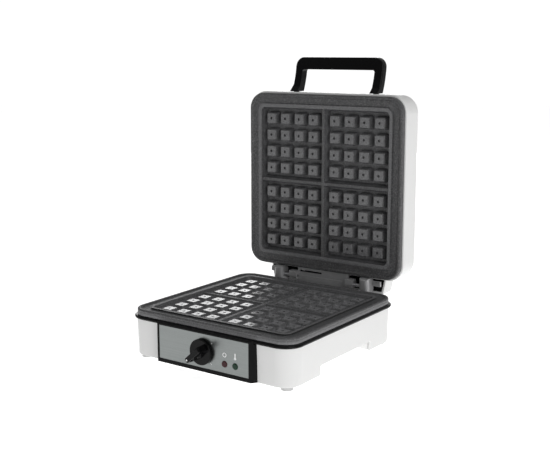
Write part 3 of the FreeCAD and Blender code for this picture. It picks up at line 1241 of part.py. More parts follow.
def lid_hinge_plate():
    """The coated web under the lid: a stepped plate, two lugs, a flange and a cable slot."""
    web = new_body("lid_hinge_plate")
    profile = new_sketch(web, "profile", plane="YZ_Plane")
    rear = "web_front + web_skin"
    draw_polygon(profile, [
        ("web_front - web_step", "-web_low"),
        (rear, "-web_low"),
        (rear, "flange_low"),
        ("flange_back", "flange_low"),
        ("flange_back", "flange_top"),
        (rear, "flange_top"),
        (rear, "web_top"),
        ("web_front", "web_top"),
        ("web_front", "web_step_height"),
        ("web_front - web_step", "web_step_height - web_step_slope"),
    ])
    pad(web, profile, "2 * web_half", middle=True)
    for name, side in (("left", "-"), ("right", "")):
        lug = new_sketch(web, f"{name}_lug", plane="YZ_Plane", level=f"{side}lug_inner")
        draw_circle(lug, "lug_width")
        pad(web, lug, "lug_outer - lug_inner", down=side == "-")
        block = new_sketch(web, f"{name}_block", plane="YZ_Plane", level=f"{side}lug_inner")
        draw_rectangle(block, "-lug_width / 2", "web_front + web_skin", "0", "lug_top")
        pad(web, block, "lug_outer - lug_inner", down=side == "-")
        bore = new_sketch(web, f"{name}_bore", plane="YZ_Plane", level=f"{side}(lug_outer + 1)")
        draw_circle(bore, "pin_width + pin_slack")
        pocket(web, bore, "lug_outer - lug_inner + 1", up=side == "-")
    screw_holes = new_sketch(web, "screw_holes", level="flange_top + 1")
    for step in ("-1", "0", "1"):
        draw_circle(screw_holes, "post_bore + stud_slack", f"{step} * hinge_screw_step",
                    "(web_front + web_skin + flange_back) / 2")
    pocket(web, screw_holes, "2 * (flange_top - flange_low)")
    slot = new_sketch(web, "slot", plane="XZ_Plane", level="-web_front + 1")
    draw_rectangle(slot, "-slot_left", "-slot_right", "slot_low", "slot_high")
    pocket(web, slot, "2 * web_skin")
    stand(web, "0", "hinge_back", "hinge_height")


def lid_hinge_hood():
    """The white cover behind the hinge, open to the front, narrowing towards its lower end."""
    hood = new_body("lid_hinge_hood")
    shell = new_sketch(hood, "shell", plane="XZ_Plane", level="-hood_back")
    draw_polygon(shell, [
        ("-hood_low_half", "-hood_low"),
        ("hood_low_half", "-hood_low"),
        ("hood_top_half", "hood_top"),
        ("-hood_top_half", "hood_top"),
    ])
    pad(hood, shell, "hood_back - hood_front")
    rear = size_of("hood_back")
    low = -size_of("hood_low")
    fillet(hood, "lower_rear_edge", "hood_round",
           lambda edge: flat_at(edge, low) and near(edge.BoundBox.YMin, rear)
           and near(edge.BoundBox.YMax, rear))
    hollow = new_sketch(hood, "hollow", plane="XZ_Plane", level="-hood_front + 1")
    draw_polygon(hollow, [
        ("-hood_low_half + hood_skin", "-hood_low + hood_skin"),
        ("hood_low_half - hood_skin", "-hood_low + hood_skin"),
        ("hood_top_half - hood_skin", "hood_top - hood_skin"),
        ("-hood_top_half + hood_skin", "hood_top - hood_skin"),
    ])
    pocket(hood, hollow, "hood_back - hood_front - hood_skin + 1")
    holes = new_sketch(hood, "screw_holes", level="hood_top + 1")
    for side in ("-", ""):
        draw_circle(holes, "post_bore + stud_slack", f"{side}hood_screw_out",
                    "(hood_front + hood_back) / 2")
    pocket(hood, holes, "2 * hood_skin")
    stand(hood, "0", "hinge_back", "hinge_height")


def hood_inner_panel():
    """The black panel pressed into the hood's open front, behind the hinge."""
    inset = "(hood_skin + hood_panel_gap)"
    panel = new_body("hood_inner_panel")
    face = new_sketch(panel, "face", plane="XZ_Plane", level="-hood_panel_front")
    draw_polygon(face, [
        (f"-hood_low_half + {inset}", f"-hood_low + {inset}"),
        (f"hood_low_half - {inset}", f"-hood_low + {inset}"),
        (f"hood_top_half - {inset}", f"hood_top - {inset}"),
        (f"-hood_top_half + {inset}", f"hood_top - {inset}"),
    ])
    pad(panel, face, "hood_panel_skin", down=True)
    stand(panel, "0", "hinge_back", "hinge_height")


# ---------------------------------------------------------------- screws and inner pieces

def screw_group(label, places, head_diameter, shank_diameter, shank_length):
    """Slotted screws in one sub-part, heads down, shanks up, at the listed places."""
    solids = []
    head_radius = head_diameter / 2
    head_rise = size_of("screw_head_rise")
    slot_width = size_of("screw_slot")
    for x, y, z in places:
        head = Part.makeCylinder(head_radius, head_rise, Vector(x, y, z - head_rise))
        shank = Part.makeCylinder(shank_diameter / 2, shank_length, Vector(x, y, z))
        slot = Part.makeBox(head_diameter, slot_width, head_rise / 2,
                            Vector(x - head_radius, y - slot_width / 2, z - head_rise))
        solids.append(head.fuse(shank).cut(slot))
    group = document.addObject("Part::Feature", label)
    group.Label = label
    group.Shape = Part.makeCompound(solids)
    sub_parts.append(group)
    return group


def four_places(x, y, z):
    out, along, level = size_of(x), size_of(y), size_of(z)
    return [(side_x * out, side_y * along, level) for side_x in (-1, 1) for side_y in (-1, 1)]


def screws():
    """Every group of identical screws."""
    cover = screw_group("cover_screws", four_places("post_out", "post_along", "cover_low"),
                        size_of("small_screw_head"), size_of("post_bore"),
                        size_of("cover_screw_length"))
    stand(cover, "0", "0", "0")
    plate_screws = screw_group(
        "lower_plate_screws", four_places("boss_spread", "boss_spread", "cover_low"),
        size_of("screw_head"), size_of("boss_bore"),
        size_of("tooth_plane - boss_drop + screw_in_boss - cover_low"))
    stand(plate_screws, "0", "0", "0")
    lid_screws = screw_group(
        "upper_reflector_screws",
        four_places("boss_spread", "boss_spread", "-boss_drop - reflector_skin"),
        size_of("screw_head"), size_of("boss_bore"), size_of("reflector_screw_length"))
    stand(lid_screws, "0", "lid_tooth_plane", "lid_middle", UPRIGHT)
    bracket_places = [(side * size_of("bracket_screw_out"), size_of("knob_height"),
                       -size_of("bezel_depth + bracket_skin")) for side in (-1, 1)]
    bracket = screw_group("bracket_screws", bracket_places, size_of("bracket_screw_head"),
                          size_of("boss_bore"), size_of("bracket_screw_length"))
    stand(bracket, "0", "-bezel_front", "0", UPRIGHT)


def hinge_plate_screws():
    """Three screws up through the hinge plate's flange and two through the hood's floor."""
    flange_row = (size_of("web_front + web_skin + flange_back") / 2, size_of("flange_low"))
    hood_row = (size_of("hood_front + hood_back") / 2, size_of("hood_top - hood_skin"))
    flange_places = [(step * size_of("hinge_screw_step"), *flange_row) for step in (-1, 0, 1)]
    hood_places = [(side * size_of("hood_screw_out"), *hood_row) for side in (-1, 1)]
    for label, places in (("hinge_plate_screws", flange_places), ("hood_screws", hood_places)):
        group = screw_group(label, places, size_of("small_screw_head"), size_of("post_bore"),
                            size_of("hinge_screw_length"))
        stand(group, "0", "hinge_back", "hinge_height")


def standoffs():
    """Four tubes that carry the lower plate's bosses from the bottom cover."""
    low = size_of("cover_low + cover_skin")
    high = size_of("tooth_plane - boss_drop - reflector_skin")
    tubes = []
    for x, y, z in four_places("boss_spread", "boss_spread", "cover_low + cover_skin"):
        outer = Part.makeCylinder(size_of("standoff_width") / 2, high - low, Vector(x, y, z))
        inner = Part.makeCylinder(size_of("clear_bore") / 2, high - low, Vector(x, y, z))
        tubes.append(outer.cut(inner))
    group = document.addObject("Part::Feature", "plate_standoffs")
    group.Label = "plate_standoffs"
    group.Shape = Part.makeCompound(tubes)
    sub_parts.append(group)
    stand(group, "0", "0", "0")


def tower_screws():
    """Foot-plate screws and the small round studs on the towers' faces."""
    foot_top = size_of("pedestal_top - hinge_height + tower_foot")
    back = size_of("foot_screw_back - hinge_back")
    face = size_of("ear_front - stud_proud")
    length = size_of("foot_screw_length")
    upward = Vector(0, 0, 1)
    inward = Vector(0, 1, 0)
    foot_screws = []
    face_studs = []
    for side in (-1, 1):
        for out in (size_of("foot_screw_inner"), size_of("foot_screw_outer")):
            spot = Vector(side * out, back, foot_top)
            head = Part.makeCylinder(size_of("screw_head / 2"), size_of("low_head_rise"), spot)
            shank = Part.makeCylinder(size_of("foot_screw / 2"), length, spot - upward * length)
            foot_screws.append(head.fuse(shank))
        for out in (size_of("stud_first"), size_of("stud_second")):
            tip = Vector(side * out, face, size_of("stud_rise"))
            stud = Part.makeCylinder(size_of("stud_head / 2"), size_of("stud_length"), tip, inward)
            dimple = Part.makeCylinder(size_of("stud_head / 5"), size_of("stud_proud"), tip, inward)
            face_studs.append(stud.cut(dimple))
    for label, solids in (("tower_foot_screws", foot_screws), ("tower_studs", face_studs)):
        group = document.addObject("Part::Feature", label)
        group.Label = label
        group.Shape = Part.makeCompound(solids)
        sub_parts.append(group)
        stand(group, "0", "hinge_back", "hinge_height")


def terminal_block():
    """The ceramic block on the cover where the mains leads end, with three screw wells."""
    block = new_body("terminal_block")
    body_sketch = new_sketch(block, "body")
    draw_round_rectangle(body_sketch, "block_width", "block_depth", "block_corner")
    pad(block, body_sketch, "block_rise")
    bores = new_sketch(block, "wire_bores", plane="XZ_Plane", level="block_depth / 2 + 1")
    wells = new_sketch(block, "screw_wells", level="block_rise")
    for step in ("-1", "0", "1"):
        draw_circle(bores, "wire_bore", f"{step} * block_pitch", "wire_height")
        draw_circle(wells, "screw_well", f"{step} * block_pitch", "0")
    pocket(block, bores, "block_depth + 2")
    pocket(block, wells, "well_depth")
    stand(block, "-block_left", "block_back", "cover_low + cover_skin")


def cord_gland():
    """The strain-relief bush in the pedestal's rear wall, drawn along its own axis."""
    gland = new_body("cord_gland")
    flange = new_sketch(gland, "flange", plane="XZ_Plane")
    draw_circle(flange, "gland_width")
    pad(gland, flange, "gland_proud", draft="gland_draft", down=True)
    neck = new_sketch(gland, "neck", plane="XZ_Plane")
    draw_circle(neck, "gland_neck - stud_slack")
    pad(gland, neck, "housing_wall + gland_inside")
    bore = new_sketch(gland, "bore", plane="XZ_Plane", level="housing_wall + gland_inside + 1")
    draw_circle(bore, "gland_bore")
    pocket(gland, bore, "gland_proud + housing_wall + gland_inside + 2")
    stand(gland, "-gland_left", "pedestal_back", "gland_height")


def thermal_fuse():
    """The one-shot fuse under the lower pan, with its two leads."""
    fuse = new_body("thermal_fuse")
    can = new_sketch(fuse, "can", plane="YZ_Plane")
    draw_circle(can, "fuse_width")
    pad(fuse, can, "fuse_length", middle=True)
    leads = new_sketch(fuse, "leads", plane="YZ_Plane")
    draw_circle(leads, "tab_skin")
    pad(fuse, leads, "fuse_length + 2 * tab_length", middle=True)
    stand(fuse, "0", "fuse_back", "tooth_plane - cavity_depth - pan_skin - fuse_width / 2")


# ---------------------------------------------------------------- build, check and write

def build_all():
    base_heating()
    lid_heating()
    base_housing()
    bottom_cover()
    feet()
    trim_ring()
    front_bezel()
    control_panel()
    lamps()
    lamp_holder()
    thermostat()
    knob()
    lid_housing()
    handle()
    hinge_towers()
    lid_hinge_plate()
    lid_hinge_hood()
    hood_inner_panel()
    screws()
    hinge_plate_screws()
    standoffs()
    tower_screws()
    terminal_block()
    cord_gland()
    thermal_fuse()
    document.recompute()


def check_all():
    for item in document.Objects:
        if "Invalid" in item.State or "Error" in item.State:
            raise RuntimeError(f"{item.Label} is {item.State}")
    for part in sub_parts:
        if part.Shape.isNull() or not part.Shape.isValid() or not part.Shape.Solids:
            raise RuntimeError(f"{part.Label} has no sound shape")


def write_all():
    os.makedirs("parts", exist_ok=True)
    for part in sub_parts:
        part.Shape.exportStep(os.path.join("parts", f"{part.Label}.step"))
        box = part.Shape.BoundBox
        print(f"{part.Label:26s} {len(part.Shape.Solids)} solids, volume {part.Shape.Volume:9.0f}, "
              f"x {box.XMin:7.1f} {box.XMax:7.1f}  y {box.YMin:7.1f} {box.YMax:7.1f}  "
              f"z {box.ZMin:7.1f} {box.ZMax:7.1f}")


build_all()
check_all()
write_all()
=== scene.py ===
import json
import math

import bmesh
import bpy
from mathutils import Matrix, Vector


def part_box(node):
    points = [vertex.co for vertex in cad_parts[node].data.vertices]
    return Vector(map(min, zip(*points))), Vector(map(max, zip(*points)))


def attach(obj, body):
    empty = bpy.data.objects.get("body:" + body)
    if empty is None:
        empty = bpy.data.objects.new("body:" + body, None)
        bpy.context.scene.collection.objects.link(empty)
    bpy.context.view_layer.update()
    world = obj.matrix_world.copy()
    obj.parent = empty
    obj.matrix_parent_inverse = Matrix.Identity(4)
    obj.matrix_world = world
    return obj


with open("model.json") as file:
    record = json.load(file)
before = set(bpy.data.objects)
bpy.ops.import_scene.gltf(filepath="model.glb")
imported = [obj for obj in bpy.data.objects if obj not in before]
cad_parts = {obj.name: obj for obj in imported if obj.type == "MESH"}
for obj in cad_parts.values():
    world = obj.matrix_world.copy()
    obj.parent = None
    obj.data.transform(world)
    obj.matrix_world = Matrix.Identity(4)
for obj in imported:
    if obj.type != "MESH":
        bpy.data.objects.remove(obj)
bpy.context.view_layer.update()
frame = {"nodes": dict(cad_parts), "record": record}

MM = 0.001

# Values of a noise texture outside this span are rare, so the span covers a material's whole range.
NOISE_SPAN = (0.3, 0.7)

# Brushed and rolled metal
STREAK_STRETCH = 0.22  # stretch of the wide streaks, as a share of the fine lines' stretch
LINE_SHARE = 0.7  # share of the fine lines in the shade; the rest is the streaks
BRUSHED_SPAN = (0.32, 0.68)

# Waffle plates, whose coating tones carry painted light. Heights are over the tooth tops, towards the open
# side.
RIM_RISE = 3.0 * MM
VALLEY_HEIGHTS = (-4.0 * MM, -0.5 * MM)  # from the valleys' painted fill light to the tone over it
TOP_START = (-0.2 * MM, -0.05 * MM)  # the tooth tops' painted reflection and smoother finish fade in here
TOP_END = (0.15 * MM, 0.35 * MM)  # and out here
# Heights over which the ridge round the cavity takes its painted highlight
RIDGE_HEIGHTS = (0.2 * MM, 2.0 * MM)
RIDGE_OUTER = 109.5 * MM  # outer edge of the ridge round the cavity, from the plate's middle
RIDGE_FADE = 1.2 * MM
COATING_MOTTLE = 0.22  # share by which the coating's shade varies
MOTTLE_SPAN = (0.36, 0.64)
FLECK_SPREAD = 7.0  # factor whose fraction turns a cell's random colour into its draw
FLECK_RARITY = 0.80  # share of the cells that hold no fleck
FLECK_STRENGTH = 0.40
FLECK_COLOUR = (0.25, 0.25, 0.26)
COATING_ROUGHNESS = 0.56
TOP_ROUGHNESS = 0.20

# Printed marks on the steel panel
INK_RISE = 0.06 * MM  # thickness of the ink
ICON_RISE = 11.4 * MM  # middle of an icon over the middle of its lamp
RING_OUTER = 2.9 * MM
RING_INNER = 2.0 * MM
BULB_RADIUS = 1.7 * MM
BULB_DROP = 1.9 * MM  # middle of the thermometer's bulb under the middle of the icon
STEM_RADIUS = 0.85 * MM
STEM_RISE = 5.6 * MM  # top of the stem's straight sides over the middle of the bulb
RING_CORNERS = 64
BULB_CORNERS = 33
STEM_CORNERS = 17
DASH_REACH = 19.0 * MM  # middle of a scale dash from the knob's axis
DASH_WIDTH = 0.7 * MM
DASH_LENGTH = 2.6 * MM
DASH_TURNS = (-45.0, 41.0)  # degrees from the X axis

# Studio: lengths in metres
FLOOR_RADIUS = 6.0
FLOOR_CORNERS = 96
FLOOR_GLOW = 0.74
WORLD_FRONT = 0.22  # strength of the light from in front
WORLD_BACK = 0.4  # and from behind
WORLD_BLEND = (-0.2, 0.8)  # the ray's Y where the one starts to turn into the other, and where it ends
WORLD_SEEN = 1.05  # brightness of the background in the picture
LIGHTS = {
    # place, target, width, height, power in watts
    "key": ((1.7, -0.75, 0.9), (0.0, 0.0, 0.1), 1.0, 1.4, 11.5),
    "top": ((0.0, 0.0, 2.0), (0.0, 0.0, 0.1), 1.4, 1.4, 5.0),
    "back_left": ((-1.5, 1.9, 0.45), (0.0, 0.0, 0.08), 1.6, 0.7, 11.0),
}
CAMERA_PLACE = (0.71918, -1.02094, 0.39440)
CAMERA_TARGET = (0.01532, -0.019, 0.17040)
CAMERA_SENSOR = 36.0  # millimetres, as the focal length is
CAMERA_LENS = 62.95


# --------------------------------------------------------------------- helpers
def middle_of(node):
    lowest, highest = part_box(node)
    return (Vector(lowest) + Vector(highest)) / 2


def add_object(name, data):
    thing = bpy.data.objects.new(name, data)
    bpy.context.scene.collection.objects.link(thing)
    return thing


def aim(thing, target):
    """Turn a light or camera towards a point."""
    thing.rotation_euler = (Vector(target) - thing.location).to_track_quat("-Z", "Y").to_euler()


def feed(tree, socket, value):
    """Link an input to another node's output, or set it; three numbers make an opaque colour."""
    if isinstance(value, bpy.types.NodeSocket):
        tree.links.new(value, socket)
    elif socket.type == "RGBA":
        socket.default_value = (*value, 1.0)
    else:
        socket.default_value = value


def add_node(tree, kind, inputs=None, **settings):
    made = tree.nodes.new(kind)
    for key, value in settings.items():
        setattr(made, key, value)
    for key, value in (inputs or {}).items():
        feed(tree, made.inputs[key], value)
    return made


class Surface:
    """A material under construction: its node tree, its shader, and short calls for the nodes used here."""

    def __init__(self, name):
        self.material = bpy.data.materials.new(name)
        self.material.use_nodes = True
        self.tree = self.material.node_tree
        self.shader = self.tree.nodes["Principled BSDF"]
        self.object_point = self.node("ShaderNodeTexCoord").outputs["Object"]

    def node(self, kind, inputs=None, **settings):
        return add_node(self.tree, kind, inputs, **settings)

    def noise(self, scale, detail=2.0, roughness=0.5, stretch=None):
        """Noise at the object point, which may be scaled by a different factor along each axis."""
        point = self.object_point
        if stretch:
            point = self.node("ShaderNodeMapping", {"Vector": point, "Scale": stretch}).outputs["Vector"]
        inputs = {"Vector": point, "Scale": scale, "Detail": detail, "Roughness": roughness}
        return self.node("ShaderNodeTexNoise", inputs).outputs["Fac"]

    def cells(self, scale):
        inputs = {"Vector": self.object_point, "Scale": scale}
        return self.node("ShaderNodeTexVoronoi", inputs, feature="F1")

    def remap(self, value, span, start, end):
        """A number that goes from start to end while the value goes through the span."""
        inputs = {"Value": value, "From Min": span[0], "From Max": span[1], "To Min": start, "To Max": end}
        return self.node("ShaderNodeMapRange", inputs).outputs["Result"]

    def mixed(self, factor, first, second):
        """A colour between two others."""
        inputs = {0: factor, 6: first, 7: second}  # by place, since the colour inputs share their names
        return self.node("ShaderNodeMix", inputs, data_type="RGBA").outputs[2]

    def math(self, operation, first, second=0.0):
        return self.node("ShaderNodeMath", {0: first, 1: second}, operation=operation).outputs["Value"]

    def bump(self, height, depth, strength):
        inputs = {"Height": height, "Distance": depth, "Strength": strength}
        return self.node("ShaderNodeBump", inputs).outputs["Normal"]

    def tone(self, scale, detail, dark, light):
        """A colour that drifts between two others."""
        return self.mixed(self.noise(scale, detail), dark, light)

    def drift(self, scale, detail, low, high):
        """A number that drifts between two others."""
        return self.remap(self.noise(scale, detail), NOISE_SPAN, low, high)

    def grain(self, scale, detail, depth, strength):
        """A fine bump."""
        return self.bump(self.noise(scale, detail), depth, strength)

    def set(self, **values):
        """Feed the shader's inputs, whose names are written with underscores, and return the material."""
        for key, value in values.items():
            feed(self.tree, self.shader.inputs[key.replace("_", " ")], value)
        return self.material


# ------------------------------------------------- materials, named as their slots
def white_shell():
    s = Surface("white_shell")
    return s.set(
        Base_Color=s.tone(scale=9.0, detail=3.0, dark=(0.765, 0.765, 0.76), light=(0.785, 0.785, 0.78)),
        Roughness=s.drift(scale=60.0, detail=3.0, low=0.30, high=0.34),
        Normal=s.grain(scale=420.0, detail=2.0, depth=0.03 * MM, strength=0.2),
        IOR=1.5,
    )


def black_gloss():
    s = Surface("black_gloss")
    return s.set(
        Base_Color=s.tone(scale=14.0, detail=2.0, dark=(0.002, 0.002, 0.0022), light=(0.004, 0.004, 0.0043)),
        Roughness=s.drift(scale=120.0, detail=3.0, low=0.12, high=0.20),
        Normal=s.grain(scale=300.0, detail=2.0, depth=0.03 * MM, strength=0.3),
        IOR=1.5,
        Specular_IOR_Level=0.14,
    )


def black_plastic():
    s = Surface("black_plastic")
    leather = s.cells(scale=1600.0).outputs["Distance"]
    return s.set(
        Base_Color=s.tone(scale=20.0, detail=3.0, dark=(0.002, 0.002, 0.0022), light=(0.005, 0.005, 0.0053)),
        Roughness=s.drift(scale=200.0, detail=3.0, low=0.34, high=0.46),
        Normal=s.bump(leather, depth=0.05 * MM, strength=0.35),
        IOR=1.45,
        Specular_IOR_Level=0.12,
    )


def hinge_casting():
    s = Surface("hinge_casting")
    return s.set(
        Base_Color=s.tone(scale=40.0, detail=4.0, dark=(0.34, 0.34, 0.345), light=(0.45, 0.45, 0.455)),
        Roughness=s.drift(scale=150.0, detail=3.0, low=0.38, high=0.52),
        Normal=s.grain(scale=700.0, detail=3.0, depth=0.12 * MM, strength=0.5),
        Metallic=0.5,
    )


def brushed(name, dark, light, stretch, rough):
    """Rolled or brushed metal whose fine lines run along the axis with the smallest stretch."""
    s = Surface(name)
    lines = s.noise(scale=1.0, detail=3.0, roughness=0.65, stretch=stretch)
    wide = tuple(factor * STREAK_STRETCH for factor in stretch)
    streaks = s.noise(scale=1.0, stretch=wide)
    line_shade = s.math("MULTIPLY", lines, LINE_SHARE)
    streak_shade = s.math("MULTIPLY", streaks, 1.0 - LINE_SHARE)
    shade = s.math("ADD", line_shade, streak_shade)
    return s.set(
        Base_Color=s.mixed(s.remap(shade, BRUSHED_SPAN, 0.0, 1.0), dark, light),
        Roughness=s.remap(lines, NOISE_SPAN, *rough),
        Normal=s.bump(lines, depth=0.03 * MM, strength=0.6),
        Metallic=1.0,
    )


def panel_steel():
    dark, light = (0.22, 0.234, 0.231), (0.275, 0.291, 0.287)
    return brushed("panel_steel", dark, light, stretch=(14.0, 900.0, 2600.0), rough=(0.26, 0.42))


def bare_steel():
    dark, light = (0.42, 0.42, 0.43), (0.62, 0.62, 0.64)
    return brushed("bare_steel", dark, light, stretch=(700.0, 700.0, 700.0), rough=(0.24, 0.36))


def reflector_sheet():
    dark, light = (0.62, 0.62, 0.63), (0.80, 0.80, 0.81)
    return brushed("reflector_sheet", dark, light, stretch=(10.0, 700.0, 700.0), rough=(0.18, 0.30))


def element_sheath():
    s = Surface("element_sheath")
    return s.set(
        Base_Color=s.tone(scale=55.0, detail=4.0, dark=(0.10, 0.085, 0.075), light=(0.22, 0.21, 0.205)),
        Roughness=s.drift(scale=300.0, detail=3.0, low=0.42, high=0.62),
        Normal=s.grain(scale=1200.0, detail=2.0, depth=0.05 * MM, strength=0.5),
        Metallic=0.85,
    )


def foot_rubber():
    s = Surface("foot_rubber")
    return s.set(
        Base_Color=s.tone(scale=120.0, detail=3.0, dark=(0.50, 0.50, 0.50), light=(0.60, 0.60, 0.60)),
        Roughness=s.drift(scale=500.0, detail=2.0, low=0.55, high=0.75),
        Normal=s.grain(scale=1500.0, detail=2.0, depth=0.05 * MM, strength=0.5),
    )


def lens(name, dark, light):
    s = Surface(name)
    return s.set(
        Base_Color=s.tone(350.0, 2.0, dark, light),
        Roughness=s.drift(scale=500.0, detail=2.0, low=0.06, high=0.14),
        Transmission_Weight=0.35,
        IOR=1.49,
        Specular_IOR_Level=0.2,
    )


def red_lens():
    return lens("red_lens", dark=(0.045, 0.002, 0.006), light=(0.085, 0.005, 0.012))


def green_lens():
    return lens("green_lens", dark=(0.001, 0.030, 0.011), light=(0.003, 0.055, 0.022))


def lamp_glass():
    s = Surface("lamp_glass")
    return s.set(
        Base_Color=s.tone(scale=400.0, detail=2.0, dark=(0.86, 0.86, 0.84), light=(0.95, 0.95, 0.94)),
        Roughness=s.drift(scale=600.0, detail=2.0, low=0.03, high=0.09),
        Transmission_Weight=0.9,
        IOR=1.5,
    )


def ceramic():
    s = Surface("ceramic")
    return s.set(
        Base_Color=s.tone(scale=160.0, detail=4.0, dark=(0.74, 0.71, 0.65), light=(0.84, 0.82, 0.77)),
        Roughness=s.drift(scale=400.0, detail=3.0, low=0.55, high=0.75),
        Normal=s.grain(scale=1400.0, detail=2.0, depth=0.06 * MM, strength=0.5),
    )


def marker_white():
    s = Surface("marker_white")
    return s.set(
        Base_Color=s.tone(scale=300.0, detail=3.0, dark=(0.82, 0.82, 0.82), light=(0.90, 0.90, 0.90)),
        Roughness=s.drift(scale=500.0, detail=2.0, low=0.35, high=0.5),
        Normal=s.grain(scale=1800.0, detail=2.0, depth=0.02 * MM, strength=0.4),
    )


SLOT_MAKERS = (
    white_shell, black_gloss, black_plastic, hinge_casting, panel_steel, bare_steel, reflector_sheet,
    element_sheath, foot_rubber, red_lens, green_lens, lamp_glass, ceramic, marker_white,
)


# ---------------------------------------------------- the two waffle plates' coating, with painted light
def grey(shade):
    """A near-neutral grey that is a little cooler than pure grey."""
    return (shade, shade, shade * 1.03)


def plate_coating(name, node, axis, outward, shades):
    """Dark speckled non-stick coating, zone by zone: the tooth tops are smoother than the rim, and the tops,
    the ridge round the cavity and the valleys are painted paler than the rim as painted reflection, painted
    highlight and painted fill light.

    outward is 1 or -1, the direction along the axis in which the plate's open side faces.
    """
    s = Surface(name)
    lowest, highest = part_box(node)
    split = s.node("ShaderNodeSeparateXYZ", {"Vector": s.object_point})
    depth_axis = "XYZ".index(axis)
    rim_level = highest[depth_axis] if outward > 0 else lowest[depth_axis]
    over_teeth = s.math("SUBTRACT", split.outputs[axis], rim_level - outward * RIM_RISE)
    height = s.math("MULTIPLY", over_teeth, outward)

    # The point's distance from the plate's middle along the farther of the two other axes
    reach = 0.0
    for number, letter in enumerate("XYZ"):
        if letter != axis:
            middle = (lowest[number] + highest[number]) / 2
            offset = s.math("ABSOLUTE", s.math("SUBTRACT", split.outputs[letter], middle))
            reach = s.math("MAXIMUM", reach, offset)

    # Mask of the valleys, which are painted paler than the rim as painted fill light
    valley_light_mask = s.remap(height, VALLEY_HEIGHTS, 1.0, 0.0)
    # Mask of the tooth tops, which get a smoother finish and are painted paler as a painted reflection
    over_start = s.remap(height, TOP_START, 0.0, 1.0)
    on_top = s.math("MULTIPLY", over_start, s.remap(height, TOP_END, 1.0, 0.0))
    # Mask of the ridge round the cavity, painted paler as a painted highlight
    near_cavity = s.remap(reach, (RIDGE_OUTER, RIDGE_OUTER + RIDGE_FADE), 1.0, 0.0)
    ridge_highlight_mask = s.math("MULTIPLY", s.remap(height, RIDGE_HEIGHTS, 0.0, 1.0), near_cavity)

    cloud = s.remap(s.noise(scale=520.0, roughness=0.7), MOTTLE_SPAN, 0.0, 1.0)
    # The rim's tone is the coating's own; the tops', ridge's and valleys' tones are painted reflection,
    # painted highlight and painted fill light
    zone_tones_with_painted_light = {
        zone: s.mixed(cloud, grey(shade * (1 - COATING_MOTTLE)), grey(shade * (1 + COATING_MOTTLE)))
        for zone, shade in shades.items()
    }
    coating_with_painted_light = s.mixed(on_top, zone_tones_with_painted_light["rim"], zone_tones_with_painted_light["top"])
    coating_with_painted_light = s.mixed(ridge_highlight_mask, coating_with_painted_light, zone_tones_with_painted_light["ridge"])
    coating_with_painted_light = s.mixed(valley_light_mask, coating_with_painted_light, zone_tones_with_painted_light["valley"])

    # One number from 0 to 1 for each cell, from its random colour
    cell_colour = s.cells(scale=1500.0).outputs["Color"]
    draw = s.math("FRACT", s.math("MULTIPLY", cell_colour, FLECK_SPREAD))
    fleck = s.math("GREATER_THAN", draw, FLECK_RARITY)
    roughness = s.remap(on_top, (0.0, 1.0), COATING_ROUGHNESS, TOP_ROUGHNESS)
    return s.set(
        Base_Color=s.mixed(s.math("MULTIPLY", fleck, FLECK_STRENGTH), coating_with_painted_light, FLECK_COLOUR),
        Roughness=s.math("ADD", roughness, s.drift(scale=240.0, detail=4.0, low=-0.04, high=0.04)),
        Normal=s.bump(s.noise(scale=1100.0, detail=3.0, roughness=0.6), depth=0.05 * MM, strength=0.35),
        IOR=1.6,
    )


def lower_coating():
    # rim is the coating's own tone; top, ridge and valley are painted reflection, painted highlight and
    # painted fill light
    shades = {"rim": 0.055, "top": 0.20, "ridge": 0.10, "valley": 0.24}
    return plate_coating("lower_coating", "lower_plate", "Z", 1.0, shades)


def upper_coating():
    # rim is the coating's own tone; top, ridge and valley are painted reflection, painted highlight and
    # painted fill light
    shades = {"rim": 0.040, "top": 0.100, "ridge": 0.105, "valley": 0.090}
    return plate_coating("upper_coating", "upper_plate", "Y", -1.0, shades)


materials = {make.__name__: make() for make in SLOT_MAKERS}
plate_materials = {"lower_plate": lower_coating(), "upper_plate": upper_coating()}
for part in frame["record"]["subparts"]:
    for holder in frame["nodes"][part["node"]].material_slots:
        if part["node"] in plate_materials:
            holder.material = plate_materials[part["node"]]
        else:
            holder.material = materials[part["material_slot"]]


# --------------------------------------------------------------- printed marks
def raised_print(name, outlines):
    """A thin raised ink mark on the steel panel, from closed outlines in (x, z) metres.

    The first outline is the outer edge. A second one, with as many corners, is a hole in it.
    """
    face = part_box("control_panel")[0][1]
    work = bmesh.new()
    rings = []
    for outline in outlines:
        front = [work.verts.new((x, face - INK_RISE, z)) for x, z in outline]
        back = [work.verts.new((x, face, z)) for x, z in outline]
        rings.append((front, back))

    def join(one, other):
        """A closed band of faces between two rings of corners."""
        for at in range(len(one)):
            following = (at + 1) % len(one)
            work.faces.new((one[at], one[following], other[following], other[at]))

    for front, back in rings:
        join(front, back)
    if len(rings) == 1:
        for ring in rings[0]:
            work.faces.new(ring)
    else:
        for outer, inner in zip(*rings):
            join(outer, inner)
    bmesh.ops.recalc_face_normals(work, faces=work.faces)
    mesh = bpy.data.meshes.new(name)
    work.to_mesh(mesh)
    work.free()
    mesh.materials.append(materials["marker_white"])
    piece = add_object(name, mesh)
    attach(piece, "base_assembly")


def circle_outline(x, z, radius, corners, first=0.0, last=math.tau):
    """Points round a circle, by angle from straight down; a full turn leaves out its last point."""
    steps = corners if last - first >= math.tau else corners - 1
    angles = [first + (last - first) * step / steps for step in range(corners)]
    return [(x + radius * math.sin(angle), z - radius * math.cos(angle)) for angle in angles]


def bar_outline(x, z, width, length, turn):
    """A small bar whose long side points `turn` degrees from the X axis."""
    along = Vector((math.cos(math.radians(turn)), math.sin(math.radians(turn))))
    across = Vector((-along.y, along.x))
    middle = Vector((x, z))
    corners = ((1, 1), (-1, 1), (-1, -1), (1, -1))
    return [tuple(middle + along * (length / 2 * a) + across * (width / 2 * b)) for a, b in corners]


